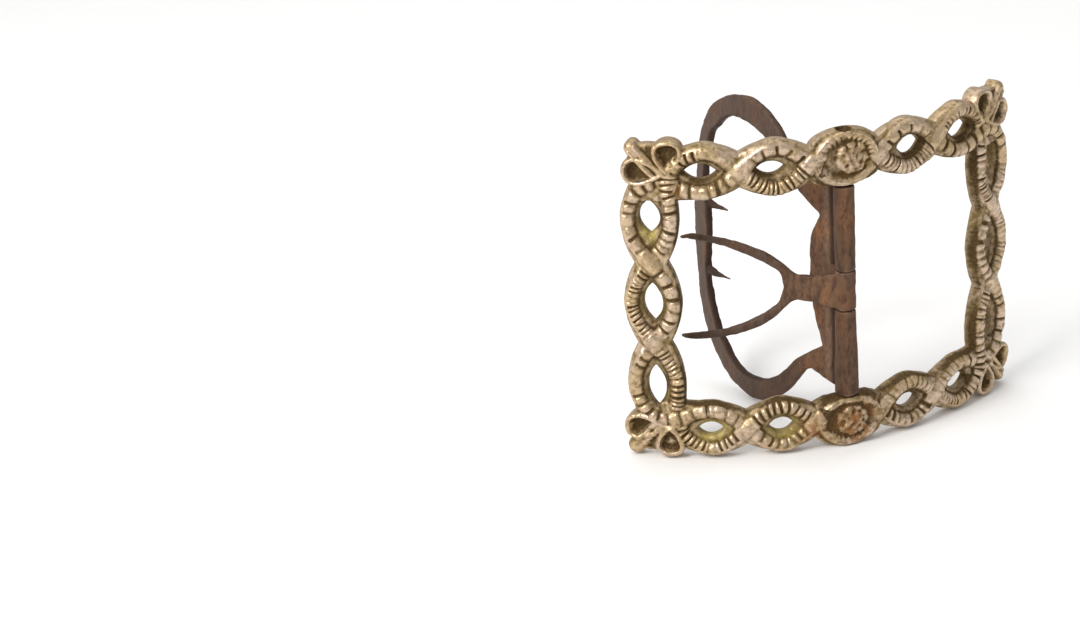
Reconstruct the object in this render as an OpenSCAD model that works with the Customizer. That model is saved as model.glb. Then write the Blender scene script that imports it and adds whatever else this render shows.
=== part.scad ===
// A plaited shoe buckle of the late eighteenth century: a bowed brass frame, an iron pin
// from boss to boss, and an iron chape and fork that swing on the pin behind the frame.
// Millimetres, +Z up. The buckle stands on its lower long side with its face towards -Y.
// The origin is where the pin's axis meets the surface that the buckle stands on.

/* [Frame] */
// Distance between the centre lines of the two long sides
frame_h = 48; // [44:0.5:54]
// Distance between the centre lines of the two short sides, along the bow
frame_w = 69.8; // [64:0.2:76]
// Radius of the bow, at the crests of the strands
bow_r = 61; // [56:0.5:90]
// Thickness of the casting at the crests
frame_t = 3.3; // [3:0.1:4]
// Half width of the plait where its strands cross
waist_half = 3.0; // [2.6:0.1:3.4]
// Half width of the loops on the long sides
long_loop_half = 4.8; // [4.2:0.1:5.2]
// Half width of the loops on the short sides
short_loop_half = 5.2; // [4.4:0.1:5.4]
// Half width of the holes in the loops
hole_half = 1.65; // [1.2:0.05:1.9]
// Length of the holes
hole_l = 7; // [5:0.1:8]
// How far the holes next to the corners of the short sides lie beyond the middle of their loops
hole_shift = 0.9; // [0:0.1:1.2]
// Half length of each boss along its side
boss_half_l = 6.3; // [5.5:0.1:7]
// Half width of each boss across its side
boss_half_w = 5.4; // [5:0.1:5.8]
// Radius of the rosette on each boss
rosette_r = 2.6; // [2:0.1:3]
// How far the rosette stands above the crests
rosette_rise = 0.35; // [0.1:0.05:0.8]

/* [Corners] */
// Distance from the corner of the centre lines to the last crossing on a long side
long_corner_run = 3.5; // [3:0.1:4.5]
// Distance from the corner of the centre lines to the last crossing on a short side
short_corner_run = 1.6; // [1.4:0.1:2.4]
// Half width of the plait inside the corner of the centre lines
corner_inner = 5.1; // [4.6:0.1:5.6]
// Half width of the plait outside the corner of the centre lines
corner_outer = 2.4; // [2:0.1:2.8]
// Length of the petal that points sideways
side_petal_l = 8.2; // [7:0.1:9]
// Width of the petal that points sideways
side_petal_w = 5.2; // [4:0.1:5.6]
// Length of the petal that points up or down
end_petal_l = 5.6; // [5:0.1:6.4]
// Width of the petal that points up or down
end_petal_w = 5.4; // [4:0.1:5.8]
// How far the middle of the sideways petal lies inside the long side's centre line
side_petal_in = 0.5; // [0:0.1:1]
// How far the middle of the other petal lies inside the short side's centre line
end_petal_in = 3.3; // [2.8:0.1:3.8]
// Radius of each of the two bars of the stem between the petals
stem_r = 0.95; // [0.8:0.05:1.1]
// Radius of the bud at the end of the stem
bud_r = 1.5; // [1.2:0.1:1.8]
// How far the bud lies beyond the outer edge of the short side
bud_out = 0.9; // [0.6:0.1:1.2]

/* [Pin] */
// Radius of the pin
pin_r = 0.9; // [0.7:0.05:0.95]
// Depth of the pin's axis behind the crests of the frame
pin_depth = 1.75; // [1.6:0.05:1.9]
// Gap between the pin and its holes in the bosses
pin_seat_gap = 0.03; // [0.01:0.01:0.06]
// How far the pin's ends lie inside the ends of its holes
pin_recess = 1.0; // [0.2:0.1:1.2]

/* [Knuckles] */
// Outer radius of the knuckles
knuckle_r = 1.8; // [1.7:0.05:2]
// Running clearance between the pin and the knuckles
pin_running_gap = 0.06; // [0.03:0.01:0.1]
// Gap between the ends of neighbouring knuckles, and between them and the bosses
knuckle_end_gap = 0.15; // [0.1:0.05:0.3]
// Length of the fork's knuckle
fork_knuckle_l = 7.2; // [6:0.1:9]

/* [Chape] */
// Reach of the chape from the pin's axis to the far edge of its loop
chape_l = 43.4; // [40:0.2:46]
// How far the chape's loop reaches past the centre lines of the frame's long sides
chape_over = 4.8; // [2:0.1:5]
// Thickness of the chape
chape_t = 1.4; // [1:0.1:1.5]
// Radius of the chape's own bow
chape_bow_r = 90; // [70:1:140]
// Swing of the chape away from the frame's plane
chape_swing = 61; // [45:1:100]
// How far the notch for the fork's knuckle runs into the leaf
notch_reach = 2.4; // [2.2:0.1:4]
// Length of the two teeth on the far bar
tooth_l = 6.2; // [3.5:0.1:7]
// How far each tooth is bent to the back of the chape, in degrees
tooth_bend = 18; // [0:1:25]
// Distance between the two teeth
tooth_pitch = 13.6; // [10:0.2:18]
// How far the pair of teeth lies below the middle
tooth_drop = 1.7; // [0:0.1:2]
// Width of a tooth at its root
tooth_w = 2.2; // [1.5:0.1:3]

/* [Fork] */
// Reach of the fork from the pin's axis to its tips
fork_reach = 28.4; // [24:0.2:28.6]
// Half height of the fork over its prongs
fork_half_h = 10; // [8:0.1:11]
// Thickness of the fork at its neck
fork_t = 1.5; // [1.2:0.1:1.6]
// Thickness of the fork at its tips
fork_tip_t = 1; // [0.7:0.1:1.2]
// Swing of the fork away from the frame's plane
fork_swing = 32; // [10:1:40]

/* [Hidden] */

brass = "#b39a78";
iron = "#5a4238";
rusty_iron = "#6b4a3a";

half_w = frame_w / 2;
half_h = frame_h / 2;
stand_h = half_h + boss_half_w;
chape_half_h = half_h + chape_over;
// Deeper than the whole buckle, for cuts that go right through
through = 2 * chape_l;
long_loop = (half_w - boss_half_l - long_corner_run) / 2;
short_loop = (frame_h - 2 * short_corner_run) / 3;
pin_hole_r = pin_r + pin_seat_gap;
bore_r = pin_r + pin_running_gap;
knuckle_end = half_h - boss_half_w - knuckle_end_gap;
fork_half_l = fork_knuckle_l / 2;
chape_knuckle_start = fork_half_l + knuckle_end_gap;

function mix(a, b, t) = a + (b - a) * t;
function clamp01(t) = min(1, max(0, t));

// A place on the frame: u along the bow, v up from the middle, w forward from the back
function bend(u, v, w) =
    let (angle = u / bow_r * 180 / PI, radius = bow_r - frame_t + w)
    [radius * sin(angle), bow_r - pin_depth - radius * cos(angle), v];

// The plait is a ring of stations. A station holds the side it is on, a place u, v on the centre
// line, how far its line leans towards the corner, its half widths outside and inside, the half
// width of its hole, its place between crossings and whether it is on a boss.
SIDE = 0;
U = 1;
V = 2;
LEAN = 3;
OUTER = 4;
INNER = 5;
HOLE = 6;
CROSS = 7;
BOSS = 8;

// A place across a station, at distance d outwards from the centre line
function across(s, d) = s[SIDE] == 0 ? [s[U] + s[LEAN] * d, s[V] + d] : [s[U] + d, s[V] + s[LEAN] * d];

// A loop runs from t = 0 at one crossing to t = 1 at the next, its hole from a to b
function loop_half(widest, t) = mix(waist_half, widest, 1 - pow(2 * t - 1, 2));
function hole_half_at(t, a, b) =
    hole_half * 2 * sqrt(max(0, (t - a) * (b - t))) / (b - a);
function cross_at(t, a, b) = t <= a ? t / a : t >= b ? (t - 1) / (1 - b) : 1;
function steps(a, b) = [0, a / 3, a * 2 / 3, a,
    for (i = [1 : 6]) mix(a, b, (1 - cos(180 * i / 7)) / 2),
    b, mix(b, 1, 1 / 3), mix(b, 1, 2 / 3)];

long_a = (1 - hole_l / long_loop) / 2;
long_b = 1 - long_a;
short_a = (1 - hole_l / short_loop) / 2;
short_b = 1 - short_a;
shift = hole_shift / short_loop;
lean_from_u = half_w - long_corner_run - long_loop * 0.42;
lean_from_v = half_h - short_corner_run - short_loop * 0.42;
function u_lean(u) = clamp01((u - lean_from_u) / (half_w - lean_from_u));
function v_lean(v) = clamp01((v - lean_from_v) / (half_h - lean_from_v));
function inner_half(widest, t, last) =
    last && t > 0.5 ? mix(widest, corner_inner, 2 * t - 1) : loop_half(widest, t);

function boss_half(share) = mix(waist_half, boss_half_w, pow(max(0, 1 - share * share), 0.6));
boss_stations = [for (share = [0, 0.15, 0.3, 0.42, 0.54, 0.66, 0.78, 0.9])
    [0, share * boss_half_l, half_h, 0, boss_half(share), boss_half(share), 0, 0, 1]];

function long_station(t, last) =
    let (u = boss_half_l + (last ? 1 + t : t) * long_loop)
    [0, u, half_h, last ? u_lean(u) : 0,
     loop_half(long_loop_half, t), inner_half(long_loop_half, t, last),
     hole_half_at(t, long_a, long_b), cross_at(t, long_a, long_b), 0];

function short_station(t, last) =
    let (v = (last ? 0.5 + t : t - 0.5) * short_loop, a = short_a + (last ? shift : 0),
         b = short_b + (last ? shift : 0))
    [1, half_w, v, last ? v_lean(v) : 0,
     loop_half(short_loop_half, t), inner_half(short_loop_half, t, last),
     hole_half_at(t, a, b), -cross_at(t, a, b), 0];

corner_stations = concat(
    [for (k = [0, 0.5]) let (u = half_w - long_corner_run * (1 - k))
        [0, u, half_h, u_lean(u), mix(waist_half, corner_outer, k), corner_inner, 0, k, 0]],
    [[0, half_w, half_h, 1, corner_outer, corner_inner, 0, 1, 0]],
    [for (k = [0.5, 0]) let (v = half_h - short_corner_run * (1 - k))
        [1, half_w, v, v_lean(v), mix(waist_half, corner_outer, k), corner_inner, 0, -k, 0]]);

// A quarter of the ring, from the middle of the upper side to the middle of the right side
last_short = steps(short_a + shift, short_b + shift);
half_steps = [for (t = steps(short_a, short_b)) if (t > 0.5 && t < 1) t];
quarter = concat(
    boss_stations,
    [for (t = steps(long_a, long_b)) long_station(t, false)],
    [for (t = steps(long_a, long_b)) long_station(t, true)],
    corner_stations,
    [for (i = [len(last_short) - 1 : -1 : 1]) short_station(last_short[i], true)],
    [short_station(1, false)],
    [for (i = [len(half_steps) - 1 : -1 : 0]) short_station(half_steps[i], false)],
    [short_station(0.5, false)]);

// Heights above the back, as shares of frame_t
strand_edge = 0.78;
hole_edge = 0.52;
under_strand = 0.8;
boss_field = 0.84;
boss_rim = 1.04;
boss_edge = 0.9;

// Where the ridge of a strand lies across a half of the plait, and the points across that half
function ridge_at(s) = s[BOSS] == 1 || s[HOLE] > 0 ? 0.5 : sin(90 * s[CROSS]) / 2;
function front_shares(s) =
    let (ridge = max(0.16, abs(ridge_at(s)))) [0, ridge / 2, ridge, mix(ridge, 1, 0.55), 1];
front_n = 5;
half_n = front_n + 2;

// A strand falls steeply towards the middle of the plait and gently towards its edge. At each
// waist one strand crosses over the other.
function strand(y, ridge) =
    let (d = 2 * (y - ridge), outwards = abs(y) > abs(ridge) && y * ridge >= 0)
    mix(1, outwards ? strand_edge : hole_edge, min(1, d * d));
function plait_height(s, y) =
    let (ridge = ridge_at(s), low = mix(under_strand, 1, abs(s[CROSS])))
    s[HOLE] > 0 ? strand(abs(y), ridge) : max(strand(y, ridge), low * strand(y, -ridge));
function boss_height(s, y) =
    let (r = sqrt(pow(s[U] / boss_half_l, 2) + pow(y * s[OUTER] / boss_half_w, 2)))
    r < 0.62 ? boss_field : r < 0.85 ? mix(boss_field, boss_rim, (r - 0.62) / 0.23)
    : mix(boss_rim, boss_edge, clamp01((r - 0.85) / 0.15));
function height(s, y) = frame_t * (s[BOSS] == 1 ? boss_height(s, y) : plait_height(s, y));

// The points of a station: front from the middle outwards, then the edge and the middle of the
// back, for the outer half (way = 1) and for the inner half (way = -1)
function half_points(s, way) =
    let (edge = way > 0 ? s[OUTER] : s[INNER])
    concat(
        [for (share = front_shares(s)) concat(
            across(s, way * mix(s[HOLE], edge, share)), height(s, way * share))],
        [concat(across(s, way * edge), 0), concat(across(s, way * s[HOLE]), 0)]);
function station_points(s, mu, mv) =
    [for (p = concat(half_points(s, 1), half_points(s, -1))) bend(mu * p[0], mv * p[1], p[2])];

last_q = len(quarter) - 1;
ring = concat(
    [for (i = [0 : last_q - 1]) [i, 1, 1]],
    [for (i = [last_q : -1 : 1]) [i, 1, -1]],
    [for (i = [0 : last_q - 1]) [i, -1, -1]],
    [for (i = [last_q : -1 : 1]) [i, -1, 1]]);
ring_n = len(ring);
function hole_of(j) = quarter[ring[j % ring_n][0]][HOLE];
// The two halves share the points of their middle where there is no hole
function at(j, inner, k) =
    let (j2 = j % ring_n, shared = hole_of(j2) == 0 && (k == 0 || k == half_n - 1))
    j2 * 2 * half_n + (inner && !shared ? half_n : 0) + k;
function strip(j, k, inner) =
    let (a = at(j, inner, k), b = at(j, inner, (k + 1) % half_n),
         c = at(j + 1, inner, (k + 1) % half_n), d = at(j + 1, inner, k))
    inner ? [[a, c, b], [a, d, c]] : [[a, b, c], [a, c, d]];
function is_flat(f) = f[0] == f[1] || f[1] == f[2] || f[2] == f[0];

module plait() {
    polyhedron(
        points = [for (r = ring) each station_points(quarter[r[0]], r[1], r[2])],
        faces = [for (j = [0 : ring_n - 1]) for (inner = [false, true]) for (k = [0 : half_n - 1])
            if (k < half_n - 1 || hole_of(j) > 0 || hole_of(j + 1) > 0)
                for (f = strip(j, k, inner)) if (!is_flat(f)) f],
        convexity = 10);
}

// A petal is a dished teardrop: rings of points round the teardrop, from its back to its dish
petal_n = 20;
petal_levels = [[1, 0.12], [1, 0.5], [0.84, 0.98], [0.6, 0.66], [0.3, 0.56]];
SCALE = 0;
LEVEL = 1;
function petal_edge(i, l, w) =
    let (a = 360 * (i + 0.5) / petal_n, reach = (1 - cos(a)) / 2)
    [reach * l, sin(a) * w / 2 * pow(reach, 0.55) * 1.33];
function petal_point(tip, turn, p, level) =
    bend(tip[0] + p[0] * cos(turn) - p[1] * sin(turn),
         tip[1] + p[0] * sin(turn) + p[1] * cos(turn), level * frame_t);

module petal(tip, turn, l, w) {
    middle = l * 0.62;
    levels = len(petal_levels);
    rings = [for (level = petal_levels) for (i = [0 : petal_n - 1])
        let (e = petal_edge(i, l, w))
        petal_point(tip, turn, [mix(middle, e[0], level[SCALE]), e[1] * level[SCALE]], level[LEVEL])];
    polyhedron(
        points = concat(rings, [
            petal_point(tip, turn, [middle, 0], petal_levels[0][LEVEL]),
            petal_point(tip, turn, [middle, 0], petal_levels[levels - 1][LEVEL])]),
        faces = [
            for (i = [0 : petal_n - 1]) let (i2 = (i + 1) % petal_n) each concat(
                [[i2, i, levels * petal_n]],
                [[(levels - 1) * petal_n + i, (levels - 1) * petal_n + i2, levels * petal_n + 1]],
                [for (k = [0 : levels - 2]) each [
                    [k * petal_n + i2, (k + 1) * petal_n + i2, (k + 1) * petal_n + i],
                    [k * petal_n + i2, (k + 1) * petal_n + i, k * petal_n + i]]])],
        convexity = 4);
}

// A round bar from one place on the bow to another
module bar(from, to, r) {
    run = to - from;
    translate(from)
        rotate([0, acos(run[2] / norm(run)), atan2(run[1], run[0])])
            cylinder(h = norm(run), r = r, $fn = 24);
}

// Two petals, and between them a stem of two bars side by side with a bud at its end
module corner() {
    side_tip = [half_w + corner_inner - side_petal_l, half_h - side_petal_in];
    end_tip = [half_w - end_petal_in, stand_h - end_petal_l];
    petal(side_tip, 0, side_petal_l, side_petal_w);
    petal(end_tip, 90, end_petal_l, end_petal_w);
    root = [half_w - stem_r, half_h + stem_r];
    bud = [half_w + corner_outer + bud_out, stand_h - bud_r];
    apart = stem_r / 2;
    for (side = [-apart, apart])
        bar(bend(root[0] - side, root[1] + side, frame_t * 0.6),
            bend(bud[0] - apart - side, bud[1] - apart + side, frame_t * 0.56), stem_r);
    translate(bend(bud[0], bud[1], frame_t * 0.52)) sphere(r = bud_r, $fn = 24);
}

module rosette() {
    base = boss_field * frame_t * 0.8;
    top = frame_t + rosette_rise;
    translate([0, frame_t - pin_depth, 0]) rotate([90, 0, 0]) rotate_extrude($fn = 32) polygon([
        [0, base], [rosette_r, base], [rosette_r, mix(base, top, 0.6)],
        [rosette_r * 0.86, mix(base, top, 0.82)], [rosette_r * 0.66, mix(base, top, 0.86)],
        [rosette_r * 0.42, mix(base, top, 0.7)], [rosette_r * 0.3, mix(base, top, 0.95)],
        [0, top]]);
}

module frame() {
    color(brass) translate([0, 0, stand_h]) difference() {
        union() {
            plait();
            for (mu = [0, 1]) for (mv = [0, 1])
                mirror([mu, 0, 0]) mirror([0, 0, mv]) corner();
            for (side = [-1, 1]) translate([0, 0, side * half_h]) rosette();
        }
        cylinder(h = 3 * stand_h, r = pin_hole_r, center = true, $fn = 32);
    }
}

module pin() {
    color(iron) translate([0, 0, stand_h])
        cylinder(h = 2 * (stand_h - pin_recess), r = pin_r, center = true, $fn = 32);
}

// A smooth line through a list of places
function smooth_at(a, b, c, d, t) =
    0.5 * ((2 * b) + (c - a) * t + (2 * a - 5 * b + 4 * c - d) * t * t
        + (3 * b - a - 3 * c + d) * t * t * t);
function smooth(places, cuts) =
    let (n = len(places))
    [for (i = [0 : n - 2]) for (k = [0 : cuts - 1])
        smooth_at(places[max(0, i - 1)], places[i], places[i + 1], places[min(n - 1, i + 2)], k / cuts),
     places[n - 1]];
function sized(places, l, h) = [for (p = places) [p[0] * l, p[1] * h]];
function mirrored(places) = [for (i = [len(places) - 1 : -1 : 0]) [places[i][0], -places[i][1]]];

// Edges of the chape's upper half: reach as a share of chape_l, height as a share of chape_half_h
chape_outer = [[0.196, 0.615], [0.242, 0.655], [0.306, 0.78], [0.368, 0.868], [0.455, 0.955],
    [0.536, 0.996], [0.612, 0.998], [0.71, 0.962], [0.8, 0.893], [0.868, 0.806], [0.913, 0.722],
    [0.952, 0.63], [0.992, 0.35], [1, 0]];
chape_inner = [[0.912, 0], [0.905, 0.36], [0.83, 0.645], [0.77, 0.73], [0.72, 0.798],
    [0.644, 0.852], [0.55, 0.852], [0.455, 0.806], [0.364, 0.71], [0.278, 0.575], [0.165, 0.462],
    [0.136, 0.425], [0.15, 0.36], [0.184, 0.15], [0.196, 0]];
// Edges of the fork's upper half: reach as a share of fork_reach, height as a share of fork_half_h
fork_outer = [[0.28, 0.235], [0.325, 0.31], [0.38, 0.47], [0.46, 0.65], [0.565, 0.79], [0.69, 0.91],
    [0.845, 0.99], [0.94, 1], [0.985, 0.97], [1, 0.93]];
fork_inner = [[0.985, 0.9], [0.915, 0.88], [0.79, 0.82], [0.67, 0.72], [0.545, 0.56], [0.44, 0.39],
    [0.39, 0.25], [0.365, 0]];

// A swinging piece lies along +X from the pin here, with its front towards +Y
module swung(swing) {
    translate([0, 0, stand_h]) rotate([0, 0, 180 - swing]) children();
}

module slab(outline) {
    rotate([90, 0, 0]) linear_extrude(height = through, center = true) polygon(outline);
}

chape_back = -knuckle_r;
// Where the flat of a swinging piece starts, inside its knuckle
leaf_start = pin_r * 0.6;

// A tooth grows from the middle of the far bar, as thick as the chape at its root
module tooth(side) {
    root = chape_l * 0.95;
    turn = asin(root / chape_bow_r);
    run = tooth_l + chape_l * 0.02;
    middle = chape_bow_r + chape_t / 2;
    place = [middle * sin(turn), chape_back - chape_bow_r + middle * cos(turn)];
    translate([place[0], place[1], side * tooth_pitch / 2 - tooth_drop])
        rotate([0, 0, tooth_bend - turn]) intersection() {
            slab([[0, -tooth_w / 2], [0, tooth_w / 2], [-run * 0.8, tooth_w * 0.3],
                [-run, tooth_w * 0.12], [-run, -tooth_w * 0.12], [-run * 0.8, -tooth_w * 0.3]]);
            linear_extrude(height = 2 * tooth_w, center = true) polygon([
                [0, -chape_t * 0.45], [0, chape_t * 0.45], [-run, chape_t * 0.25],
                [-run, -chape_t * 0.25]]);
        }
}

module chape_sheet() {
    upper = smooth(sized(chape_outer, chape_l, chape_half_h), 3);
    inner = smooth(sized(chape_inner, chape_l, chape_half_h), 3);
    whole = concat([[leaf_start, knuckle_end]], upper, mirrored(upper), [[leaf_start, -knuckle_end]]);
    // The window of the loop is cut out, and the leaf between the knuckles stays
    window = concat(inner, mirrored(inner));
    difference() {
        intersection() {
            translate([0, chape_back - chape_bow_r, 0]) difference() {
                cylinder(h = 3 * chape_half_h, r = chape_bow_r + chape_t, center = true, $fn = 240);
                cylinder(h = 4 * chape_half_h, r = chape_bow_r, center = true, $fn = 240);
            }
            difference() {
                slab(whole);
                slab(window);
            }
        }
        cube([2 * notch_reach, through, 2 * chape_knuckle_start], center = true);
    }
    tooth(1);
    tooth(-1);
}

module chape() {
    l = knuckle_end - chape_knuckle_start;
    color(rusty_iron) swung(chape_swing) difference() {
        union() {
            for (z = [chape_knuckle_start, -knuckle_end])
                translate([0, 0, z]) cylinder(h = l, r = knuckle_r, $fn = 48);
            chape_sheet();
        }
        cylinder(h = 2 * stand_h, r = bore_r, center = true, $fn = 32);
    }
}

module fork() {
    outer = smooth(sized(fork_outer, fork_reach, fork_half_h), 3);
    inner = smooth(sized(fork_inner, fork_reach, fork_half_h), 3);
    upper = concat(outer, inner);
    neck = fork_outer[0][1] * fork_half_h;
    color(rusty_iron) swung(fork_swing) difference() {
        union() {
            cylinder(h = fork_knuckle_l, r = knuckle_r, center = true, $fn = 48);
            intersection() {
                slab(concat([[leaf_start, neck]], upper, mirrored(upper), [[leaf_start, -neck]]));
                linear_extrude(height = 4 * fork_half_h, center = true) polygon([
                    [0, knuckle_r], [0, knuckle_r - fork_t],
                    [fork_reach * 1.04, knuckle_r - fork_tip_t], [fork_reach * 1.04, knuckle_r]]);
            }
        }
        cylinder(h = 2 * stand_h, r = bore_r, center = true, $fn = 32);
    }
}

frame();
pin();
chape();
fork();
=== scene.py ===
"""The looks of a plaited shoe buckle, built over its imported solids.

The brass frame, the iron chape and the iron fork are each carved as one closed body: distances
and heights on a grid, a skin round them, then the bow or the swing that brings it to its place.
Lengths are in millimetres until a mesh is made, and the axes are those of the solids.
"""

from __future__ import annotations

import logging
import math
from dataclasses import dataclass, field
from enum import Enum

import bpy
import numpy as np
from mathutils import Matrix, Vector

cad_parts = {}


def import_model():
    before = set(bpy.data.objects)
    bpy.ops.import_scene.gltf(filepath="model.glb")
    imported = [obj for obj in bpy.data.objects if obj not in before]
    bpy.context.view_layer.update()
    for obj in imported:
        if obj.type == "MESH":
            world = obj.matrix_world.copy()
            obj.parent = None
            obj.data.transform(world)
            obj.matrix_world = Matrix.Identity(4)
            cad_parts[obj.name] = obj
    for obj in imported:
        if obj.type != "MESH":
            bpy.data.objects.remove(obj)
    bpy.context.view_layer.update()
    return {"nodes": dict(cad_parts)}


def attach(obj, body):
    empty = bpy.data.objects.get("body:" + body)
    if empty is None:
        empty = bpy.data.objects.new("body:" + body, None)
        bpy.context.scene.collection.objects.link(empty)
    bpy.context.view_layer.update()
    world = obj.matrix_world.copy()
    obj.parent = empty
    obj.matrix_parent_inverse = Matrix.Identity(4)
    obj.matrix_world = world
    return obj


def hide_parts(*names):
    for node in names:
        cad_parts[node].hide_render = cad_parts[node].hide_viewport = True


Array = np.ndarray
Socket = bpy.types.NodeSocket
MM = 0.001
log = logging.getLogger("shoe_buckle")


# Numbers and noise


def ease(x: Array | float) -> Array:
    """Returns 0 below 0, 1 above 1 and a soft S between them."""
    x = np.clip(x, 0.0, 1.0)
    return x * x * (3 - 2 * x)


def mix(low: Array | float, high: Array | float, share: Array | float) -> Array:
    """Returns the value at a share of the way from low to high."""
    return low + (high - low) * share


def soft_max(a: Array, b: Array, blend: float) -> Array:
    """Takes the larger of two fields and rounds the edge where they meet.

    Args:
        a: First field.
        b: Second field.
        blend: How wide the rounding is.
    Returns:
        The blended field.
    """
    share = np.clip(0.5 + 0.5 * (a - b) / blend, 0, 1)
    return mix(b, a, share) + blend * share * (1 - share)


class Grain:
    """Smooth seeded noise that repeats only far outside the buckle."""

    def __init__(self, seed: int, cells: int = 40) -> None:
        """Fills the lattice.

        Args:
            seed: Seed of the random numbers.
            cells: Lattice cells each way.
        """
        self.cells = cells
        self.lattice = np.random.default_rng(seed).uniform(-1, 1, (cells,) * 3).astype(np.float32)

    def at(self, x: Array, y: Array, z: Array | float, size: float) -> Array:
        """Samples one layer of noise.

        Args:
            x: First coordinate.
            y: Second coordinate.
            z: Third coordinate, or one value for all.
            size: Size of a lump.
        Returns:
            Values from -1 to 1.
        """
        place = [np.asarray(c, np.float32) / size for c in np.broadcast_arrays(x, y, z)]
        low = [np.floor(c).astype(np.int32) for c in place]
        part = [ease(c - f) for c, f in zip(place, low)]
        i, j, k = (f % self.cells for f in low)
        i2, j2, k2 = ((f + 1) % self.cells for f in (i, j, k))
        a, b, c = part
        net = self.lattice
        near = mix(mix(net[i, j, k], net[i2, j, k], a), mix(net[i, j2, k], net[i2, j2, k], a), b)
        far = mix(mix(net[i, j, k2], net[i2, j, k2], a), mix(net[i, j2, k2], net[i2, j2, k2], a), b)
        return mix(near, far, c)

    def rough(self, x: Array, y: Array, z: Array | float, size: float, layers: int = 3) -> Array:
        """Adds up layers of noise, each half the size and a little over half the strength.

        Args:
            x: First coordinate.
            y: Second coordinate.
            z: Third coordinate, or one value for all.
            size: Size of the largest lumps.
            layers: Number of layers.
        Returns:
            Values of about -1 to 1.
        """
        total = np.zeros(np.broadcast(x, y, z).shape, np.float32)
        for layer in range(layers):
            total += 0.6**layer * self.at(x, y, z, size / 2**layer)
        return total


# Lines and outlines


def smooth_line(points: list[tuple[float, float]] | Array, cuts: int) -> Array:
    """Runs a smooth line through a few places.

    Args:
        points: The places, in order.
        cuts: Pieces that each stretch is cut into.
    Returns:
        The points of the line, from the first place to the last.
    """
    p = np.asarray(points, float)
    p = np.vstack([p[:1], p, p[-1:]])
    t = (np.arange(cuts) / cuts)[:, None]
    parts = []
    for a, b, c, d in zip(p[:-3], p[1:-2], p[2:-1], p[3:]):
        curve = 2 * b + (c - a) * t + (2 * a - 5 * b + 4 * c - d) * t**2
        parts.append(0.5 * (curve + (3 * b - a - 3 * c + d) * t**3))
    return np.vstack([*parts, p[-1:]])


def outline_distance(outline: Array, x: Array, y: Array) -> Array:
    """Measures how far places are from a closed outline.

    Args:
        outline: Corners of the outline, in order.
        x: First coordinate of the places.
        y: Second coordinate of the places.
    Returns:
        Distances, less than 0 inside.
    """
    nearest = np.full(x.shape, 1e9)
    inside = np.zeros(x.shape, bool)
    for (ax, ay), (bx, by) in zip(outline, np.roll(outline, -1, axis=0)):
        run_x, run_y = bx - ax, by - ay
        length = run_x**2 + run_y**2 + 1e-12
        t = np.clip(((x - ax) * run_x + (y - ay) * run_y) / length, 0, 1)
        nearest = np.minimum(nearest, (x - ax - run_x * t) ** 2 + (y - ay - run_y * t) ** 2)
        if ay != by:
            inside ^= ((ay > y) != (by > y)) & (x < run_x * (y - ay) / run_y + ax)
    return np.where(inside, -1, 1) * np.sqrt(nearest)


def path_distance(path: Array, x: Array, y: Array) -> tuple[Array, Array]:
    """Finds the nearest place of an open path.

    Args:
        path: Points of the path, in order.
        x: First coordinate of the places.
        y: Second coordinate of the places.
    Returns:
        Distances, more than 0 to the right of the path, and the nearest place as an index.
    """
    nearest = np.full(x.shape, 1e9)
    index = np.zeros(x.shape)
    side = np.ones(x.shape)
    for i, ((ax, ay), (bx, by)) in enumerate(zip(path[:-1], path[1:])):
        run_x, run_y = bx - ax, by - ay
        t = np.clip(((x - ax) * run_x + (y - ay) * run_y) / (run_x**2 + run_y**2), 0, 1)
        away = (x - ax - run_x * t) ** 2 + (y - ay - run_y * t) ** 2
        closer = away < nearest
        nearest = np.where(closer, away, nearest)
        index = np.where(closer, i + t, index)
        side = np.where(closer, np.sign((x - ax) * run_y - (y - ay) * run_x + 1e-12), side)
    return side * np.sqrt(nearest), index


# A skin round a solid on a grid

CORNERS = [(i, j, k) for i in (0, 1) for j in (0, 1) for k in (0, 1)]
EDGES = [
    (a, b)
    for a, low in enumerate(CORNERS)
    for b, high in enumerate(CORNERS)
    if a < b and sum(abs(p - q) for p, q in zip(low, high)) == 1
]


def skin(solid: Array) -> tuple[Array, Array]:
    """Lays a closed skin of quads where a field on a grid passes 0.

    Args:
        solid: Field on the grid, less than 0 inside.
    Returns:
        Points in grid steps, and quads that face outwards.
    """
    inside = solid < 0
    cells = tuple(n - 1 for n in solid.shape)
    count = np.zeros(cells, np.int8)
    for i, j, k in CORNERS:
        count += inside[i : i + cells[0], j : j + cells[1], k : k + cells[2]]
    active = (count > 0) & (count < 8)
    cell = np.argwhere(active)
    number = np.full(cells, -1, np.int32)
    number[active] = np.arange(len(cell))
    value = [solid[cell[:, 0] + i, cell[:, 1] + j, cell[:, 2] + k] for i, j, k in CORNERS]
    total = np.zeros((len(cell), 3))
    hits = np.zeros(len(cell))
    for a, b in EDGES:
        crosses = (value[a] < 0) != (value[b] < 0)
        share = np.where(crosses, value[a] / np.where(crosses, value[a] - value[b], 1), 0)
        low, high = np.array(CORNERS[a]), np.array(CORNERS[b])
        total += crosses[:, None] * (low + (high - low) * share[:, None])
        hits += crosses
    quads = []
    for axis in range(3):
        second, third = np.eye(3, dtype=int)[[(axis + 1) % 3, (axis + 2) % 3]]
        low = np.take(inside, range(cells[axis]), axis)
        high = np.take(inside, range(1, cells[axis] + 1), axis)
        place = np.argwhere(low != high)
        rest = [(axis + 1) % 3, (axis + 2) % 3]
        kept = np.all([(place[:, r] > 0) & (place[:, r] < cells[r]) for r in rest], axis=0)
        place = place[kept]
        ring = [place - second - third, place - third, place, place - second]
        quad = np.stack([number[tuple(r.T)] for r in ring], axis=1)
        outward = low[tuple(place.T)]
        quads.append(np.where(outward[:, None], quad, quad[:, ::-1]))
    return cell + total / hits[:, None], np.vstack(quads)


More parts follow.
